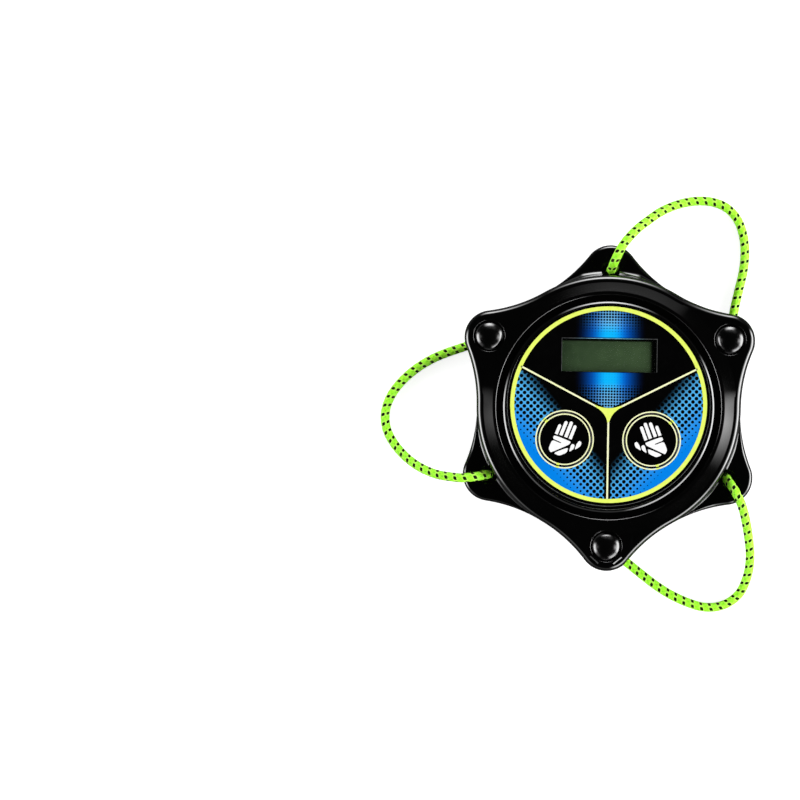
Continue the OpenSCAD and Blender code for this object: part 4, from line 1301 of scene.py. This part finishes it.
# %% The label's cut edge
cut_edge, tree, shader = finish("cut_label_edge_and_painted_highlight", Specular_IOR_Level=0.5)
spot, (x, y, z) = place_mm(tree)
# Painted light: along the middle of the window's top the edge is painted the glow's blue, a
# painted reflection of the bright print beside it.
painted_glow_on_edge = abs(x - 0.3).ramp(13, 3) * y.ramp(21.5, 22.6)
chipped = noise(tree, spot, 1.1, 3).ramp(0.3, 0.7) * 0.5 + 0.5
# Painted highlight: the grey is partly the bare film edge and partly stands in for the bright line
# that the edges catch.
edge_and_highlight_colour = mix_colour(tree, painted_glow_on_edge, srgb(74, 76, 76), srgb(128, 206, 240))
feed(tree, shader.inputs["Base Color"], mix_colour(tree, chipped, INK_BLACK, edge_and_highlight_colour))
feed(tree, shader.inputs["Roughness"], chipped * 0.3 + 0.25)
bump(tree, shader, chipped, 0.01)
for piece in (window_rim, label_rim):
    wear(piece, cut_edge)
print("cut edge of", len(tree.nodes), "nodes")

# %% [markdown]
# ## The display
# A switched-off liquid-crystal display looks grey-green, because its reflector shows
# through two sheets of glass and a polarising film. The clear window over it lets
# light through: for shadow and diffuse rays it becomes plain transparent, so that the
# display is evenly lit. The film itself has no gloss, because the window has it. Its
# colour carries painted light: it is painted lighter towards the right, where the
# brightest lamp is, and a strip of painted shadow runs along its right and top edges.

# %% Display
display, tree, shader = finish("display_film", Specular_IOR_Level=0.0)
spot, (x, y, z) = place_mm(tree)
film = noise(tree, spot, 0.35, 4).ramp(0.3, 0.7) * 0.3
# Painted light: the film is painted lighter from left to right, as the right-hand lamp would light
# it.
film_with_painted_light = mix_colour(tree, x.ramp(-16, 15, soft=False) * 0.7 + film,
                      srgb(46, 63, 42), srgb(64, 84, 56))
# Painted shadow: a near-black strip along the right and top edges, where the window's walls shade
# the film.
feed(tree, shader.inputs["Base Color"],
     mix_colour(tree, x.ramp(14.4, 13.1) * y.ramp(22.2, 21.6), srgb(3, 5, 3), film_with_painted_light))
rough, _ = use(tree, SCUFFS, Gloss=0.24, Unevenness=0.05, Scratches=0.1)
feed(tree, shader.inputs["Roughness"], rough)
bump(tree, shader, noise(tree, spot, 9, 2), 0.002)
wear(frame["nodes"]["lcd_glass"], display)
print("display done")

# %% Clear window
clear, tree, shader = finish("clear_window", IOR=1.49, Transmission_Weight=1.0)
rough, _ = use(tree, SCUFFS, Gloss=0.04, Unevenness=0.02, Scratches=0.15)
feed(tree, shader.inputs["Roughness"], rough)
feed(tree, shader.inputs["Base Color"], mix_colour(
    tree, noise(tree, place_mm(tree)[0], 0.4, 3), srgb(250, 252, 252), srgb(255, 255, 255)))
through = tree.nodes.new("ShaderNodeBsdfTransparent")
either = tree.nodes.new("ShaderNodeMixShader")
plain_ray = node(tree, "LightPath", out="Is Shadow Ray").most(
    node(tree, "LightPath", out="Is Diffuse Ray"))
tree.links.new(plain_ray.socket, either.inputs[0])
tree.links.new(shader.outputs[0], either.inputs[1])
tree.links.new(through.outputs[0], either.inputs[2])
tree.links.new(either.outputs[0], tree.nodes["Material Output"].inputs["Surface"])
wear(frame["nodes"]["window_lens"], clear)
print("window done")

# %% [markdown]
# ## Braided elastic
# The sleeve of the cord is woven from lime yarn, with a black tracer that comes up
# in short slanted flecks. The mesh already has the relief of the strands, and its
# UV map says how far round and how far along each point lies. So the shader can lay
# yarn, paint shade into the gaps between strands and between single yarns, and place
# five rows of flecks, each a fifth of a step on from the last, so that they climb round
# the cord like a screw thread.

# %% Cord finish
elastic, tree, shader = finish("braided_elastic", Sheen_Roughness=0.4,
                               Sheen_Tint=srgb(190, 255, 110),
                               Subsurface_Weight=0.06, Subsurface_Scale=0.0006,
                               Subsurface_Radius=(0.5, 1.0, 0.2))
lay = tree.nodes.new("ShaderNodeSeparateXYZ")
feed(tree, lay.inputs[0], node(tree, "UVMap", uv_map="lay"))
turns, along = Wire(tree, lay.outputs[0]), Wire(tree, lay.outputs[1])
ROWS, fleck_pitch, fleck_half, fleck_w = 5, 3.06, 0.5, 0.64
circumference = math.pi * cord_d

u, v = turns * CELLS_ROUND, along / cell_length
over = ((u + v) * (math.pi / 2)).math("COSINE")
under = ((u - v) * (math.pi / 2)).math("COSINE")
strand = abs(over * under).root()
yarns = abs(((u + v) * (3.5 * math.pi)).math("SINE"))
row = turns * ROWS
which = row.math("FLOOR")
around_mm = (row.part() - 0.5) * (circumference / ROWS)
along_mm = ((along / fleck_pitch - which / ROWS).part() - 0.5) * fleck_pitch
slant = along_mm - around_mm * 0.3
oval = ((around_mm / fleck_w).power(4) + (slant / fleck_half).power(4)).root().root()
ragged = noise(tree, place_mm(tree)[0], 2.4, 3) * 0.2
fleck = (oval + ragged - 0.1).ramp(1.06, 0.96)
pale = (oval + ragged).ramp(2.1, 1.3) * (1 - fleck)

# Painted shade: the yarn is painted darker in the gaps between strands and between single yarns,
# where shade falls.
yarn_with_painted_shade = mix_colour(tree, strand.ramp(0.05, 0.6), srgb(122, 230, 14), srgb(166, 255, 42))
yarn_with_painted_shade = mix_colour(tree, pale * 0.5, yarn_with_painted_shade, srgb(206, 255, 110))
yarn_with_painted_shade = mix_colour(tree, yarns.ramp(0.35, 0.0) * 0.12, yarn_with_painted_shade, srgb(110, 214, 14))
feed(tree, shader.inputs["Base Color"], mix_colour(tree, fleck * 0.99, yarn_with_painted_shade, srgb(3, 5, 2)))
feed(tree, shader.inputs["Sheen Weight"], (1 - fleck) * 0.25)
feed(tree, shader.inputs["Specular IOR Level"], (1 - fleck * 0.8) * 0.35)
fuzz = noise(tree, place_mm(tree)[0], 5, 3)
feed(tree, shader.inputs["Roughness"], fuzz * 0.3 + 0.42)
bump(tree, shader, strand * 0.5 + yarns * 0.25 + fuzz * 0.2, 0.035)
for piece, _, _ in cords.values():
    wear(piece, elastic)
print("cord material has", len(tree.nodes), "nodes")

# %% Knot finish
wound, tree, shader = finish("wound_elastic", Specular_IOR_Level=0.35, Sheen_Weight=0.25,
                             Sheen_Roughness=0.4, Sheen_Tint=srgb(190, 255, 110))
spot, (x, y, z) = place_mm(tree)
weave = node(tree, "TexVoronoi", {"Vector": spot, "Scale": 1.3}, out="Distance")
tracer = noise(tree, spot, 0.7, 2).ramp(0.60, 0.64)
# Painted shade: the wound yarn is painted darker towards the creases between its strands.
yarn_with_painted_shade = mix_colour(tree, weave.ramp(0.25, 0.65), srgb(140, 236, 44), srgb(58, 130, 12))
feed(tree, shader.inputs["Base Color"], mix_colour(tree, tracer, yarn_with_painted_shade, srgb(14, 22, 8)))
feed(tree, shader.inputs["Roughness"], noise(tree, spot, 5, 3) * 0.3 + 0.45)
bump(tree, shader, weave * -1 + noise(tree, spot, 5, 3) * 0.3, 0.08)
for knot in (*hole_knots.values(), *dome_knots.values()):
    wear(knot, wound)
print("knots done")

# %% [markdown]
# ## Everything inside and underneath
# These parts are seen only from below or with the case open, yet each has its own
# finish: solder mask over copper, brushed nickel steel on the cell and the screws,
# tinned bronze on the contacts, soft rubber on the feet.

# %% Metal, rubber and board
def metal(name, colour, second, gloss, brushed):
    """A metal with fine brushing along one direction."""
    material, tree, shader = finish(name, Metallic=1.0)
    spot, _ = place_mm(tree)
    long = node(tree, "VectorMath", {0: spot, 1: (brushed, 1, 1)}, operation="MULTIPLY")
    streaks = noise(tree, long, 2.5, 5, 0.6)
    rough, scuff = use(tree, SCUFFS, Gloss=gloss, Unevenness=0.1, Scratches=0.5)
    rubbed, = use(tree, EDGES, Reach=0.5, Breaks=0.6)
    base = mix_colour(tree, streaks, srgb(*colour), srgb(*second))
    feed(tree, shader.inputs["Base Color"], mix_colour(tree, rubbed, base, srgb(226, 226, 224)))
    feed(tree, shader.inputs["Roughness"], rough + streaks * 0.1)
    bump(tree, shader, streaks + scuff * 0.3, 0.004)
    return material


def matte(name, colour, second, rough_at, cells, depth_mm, grain_scale=0.8):
    """A dull material whose colour drifts a little, with a fine grain."""
    material, tree, shader = finish(name, Specular_IOR_Level=0.4)
    spot, _ = place_mm(tree)
    pebbles, = use(tree, GRAIN, Cells_per_mm=cells, Depth=1.0)
    rubbed, = use(tree, EDGES, Reach=0.4, Breaks=0.7)
    dusty, = use(tree, DUST, Amount=0.15)
    base = mix_colour(tree, noise(tree, spot, grain_scale, 4), srgb(*colour), srgb(*second))
    base = mix_colour(tree, rubbed * 0.4 + dusty * 0.4, base, srgb(150, 150, 146))
    feed(tree, shader.inputs["Base Color"], base)
    feed(tree, shader.inputs["Roughness"], pebbles * 0.12 + rough_at)
    bump(tree, shader, pebbles, depth_mm)
    return material


steel = metal("nickel_steel", (168, 170, 172), (196, 198, 200), 0.26, 0.15)
tinned = metal("tinned_bronze", (196, 178, 132), (214, 200, 160), 0.3, 0.3)
rubber = matte("soft_rubber", (34, 34, 36), (44, 44, 46), 0.62, 5.0, 0.02)
reflector = matte("reflector_film", (150, 160, 140), (166, 176, 156), 0.3, 8.0, 0.002)
rubber_strip = matte("contact_rubber", (196, 190, 178), (208, 204, 192), 0.55, 5.0, 0.01)
white_nylon = matte("white_nylon", (222, 222, 214), (232, 232, 226), 0.4, 5.0, 0.004)
epoxy = matte("black_epoxy", (10, 10, 11), (20, 20, 21), 0.22, 1.2, 0.01)
ceramic = matte("chip_ceramic", (120, 88, 60), (140, 106, 76), 0.45, 6.0, 0.004)
NODE_FINISH = {
    "case_screws": steel, "board_screws": steel, "crystal": steel, "coin_cell": steel,
    "minus_contact": tinned, "plus_contact": tinned, "top_foot": rubber, "left_foot": rubber,
    "right_foot": rubber, "lcd_reflector": reflector, "zebra_strip": rubber_strip,
    "left_switch_plunger": white_nylon, "right_switch_plunger": white_nylon,
    "controller_blob": epoxy, "board_components": ceramic}
for name, material in NODE_FINISH.items():
    wear(frame["nodes"][name], material)
print(len(NODE_FINISH), "inner and lower parts finished")

# %% Circuit board
board, tree, shader = finish("solder_mask", Specular_IOR_Level=0.5)
spot, (x, y, z) = place_mm(tree)
tracks = node(tree, "TexBrick", {"Vector": spot, "Scale": 0.42, "Mortar Size": 0.05,
                                 "Brick Width": 0.9, "Row Height": 0.35}, out="Fac", offset=0.37)
copper = tracks.ramp(0.2, 0.8) * noise(tree, spot, 0.15, 2).ramp(0.42, 0.5)
mask_colour = mix_colour(tree, noise(tree, spot, 2, 4), srgb(18, 84, 44), srgb(26, 104, 56))
feed(tree, shader.inputs["Base Color"],
     mix_colour(tree, copper * 0.6, mask_colour, srgb(64, 140, 84)))
rough, scuff = use(tree, SCUFFS, Gloss=0.28, Unevenness=0.08, Scratches=0.3)
feed(tree, shader.inputs["Roughness"], rough)
bump(tree, shader, copper + scuff * 0.1, 0.03)
wear(frame["nodes"]["main_board"], board)
print("board done")

# %% [markdown]
# ## The studio
# The photograph is a product shot on a lit white table: the floor burns out to
# white and leaves hardly any shadow. Black gloss shows what is around it, so the
# lamps are large soft boxes low at the sides, for the rounded edges, with fainter
# ones above them, for the slopes. The right side is the brightest, and high above
# the timer it is dark. That is why the flat tops stay black while the edges light up.
# For what the black gloss mirrors, the table is dark too: only the camera sees it lit.

# %% Floor
floor_mesh = bpy.data.meshes.new("floor")
floor_half = 12
floor_mesh.from_pydata([(-floor_half, -floor_half, 0), (floor_half, -floor_half, 0),
                        (floor_half, floor_half, 0), (-floor_half, floor_half, 0)],
                       [], [(0, 1, 2, 3)])
floor = bpy.data.objects.new("floor", floor_mesh)
bpy.context.scene.collection.objects.link(floor)
table_white, tree, shader = finish("lit_table", Roughness=0.6, Specular_IOR_Level=0.1,
                                   Emission_Strength=1.0)
pale = noise(tree, place_mm(tree)[0], 0.02, 2)
white = mix_colour(tree, pale, (0.55, 0.55, 0.55), (0.58, 0.58, 0.58))
seen = node(tree, "LightPath", out="Is Camera Ray")
feed(tree, shader.inputs["Base Color"], mix_colour(tree, seen, (0.06, 0.06, 0.06), white))
feed(tree, shader.inputs["Emission Color"], mix_colour(
    tree, seen, (0.01, 0.01, 0.01), (0.80, 0.80, 0.80)))
wear(floor, table_white)
print("a floor of", 2 * floor_half, "m")

# %% [markdown]
# A soft box far away is the same as a bright patch of the surroundings, and a patch
# needs no lamp: it is a formula of the direction a ray goes in, its azimuth round
# the timer and its elevation. That also gives the patches soft borders, like the
# diffusers in front of studio lamps. Rays from the camera see a plain pale wall.

# %% Soft boxes as patches of the surroundings
world = bpy.data.worlds.new("studio") if not bpy.data.worlds else bpy.data.worlds[0]
bpy.context.scene.world = world
world.use_nodes = True
tree = world.node_tree
split = tree.nodes.new("ShaderNodeSeparateXYZ")
feed(tree, split.inputs[0], node(tree, "TexCoord", out="Generated"))
east, north, up = (Wire(tree, o) for o in split.outputs)
azimuth = north.math("ARCTAN2", east) * (180 / math.pi)
elevation = up.math("ARCSINE") * (180 / math.pi)


def soft_box(middle, half, edge, low, high, fade, level):
    """A patch round an azimuth and between two elevations, with soft borders."""
    turned = (azimuth - middle + 540) / 360
    off = abs((turned.part() - 0.5) * 360)
    return off.ramp(half + edge, half - edge) * elevation.ramp(low - 2, low + 2) \
        * elevation.ramp(high + fade / 2, high - fade / 2) * level


# Each row: middle, half width and soft edge round the timer in degrees, the level,
# and the lowest and highest elevation with the upper edge's fade.
EDGE_BAND, FRONT_BAND, SLOPE_BAND = (5, 31, 8), (6, 18, 6), (30, 45, 14)
SOFT_BOXES = (
    (-2, 27, 8, 11.0, EDGE_BAND), (-54, 20, 8, 6.5, EDGE_BAND), (189, 20, 10, 9.6, EDGE_BAND),
    (91, 15, 14, 10.5, EDGE_BAND), (218, 16, 10, 0.7, EDGE_BAND), (270, 50, 10, 0.3, FRONT_BAND),
    (-5, 10, 14, 5.5, SLOPE_BAND), (184, 7.5, 9, 0.9, SLOPE_BAND), (79, 24, 14, 0.31, SLOPE_BAND))
light = elevation.ramp(45, 0, 0.006, 0.05)
for middle, half, edge, strength, band in SOFT_BOXES:
    light = light + soft_box(middle, half, edge, *band, strength)
wall = node(tree, "LightPath", out="Is Camera Ray")
wall_level = 0.95
level = light * (1 - wall) + wall * wall_level
background = tree.nodes["Background"]
feed(tree, background.inputs["Color"], mix_colour(tree, wall, (1.0, 1.0, 1.0), (0.99, 0.99, 1.0)))
feed(tree, background.inputs["Strength"], level)
bpy.context.scene.view_settings.view_transform = "Standard"
print(len(SOFT_BOXES), "soft boxes round the table")
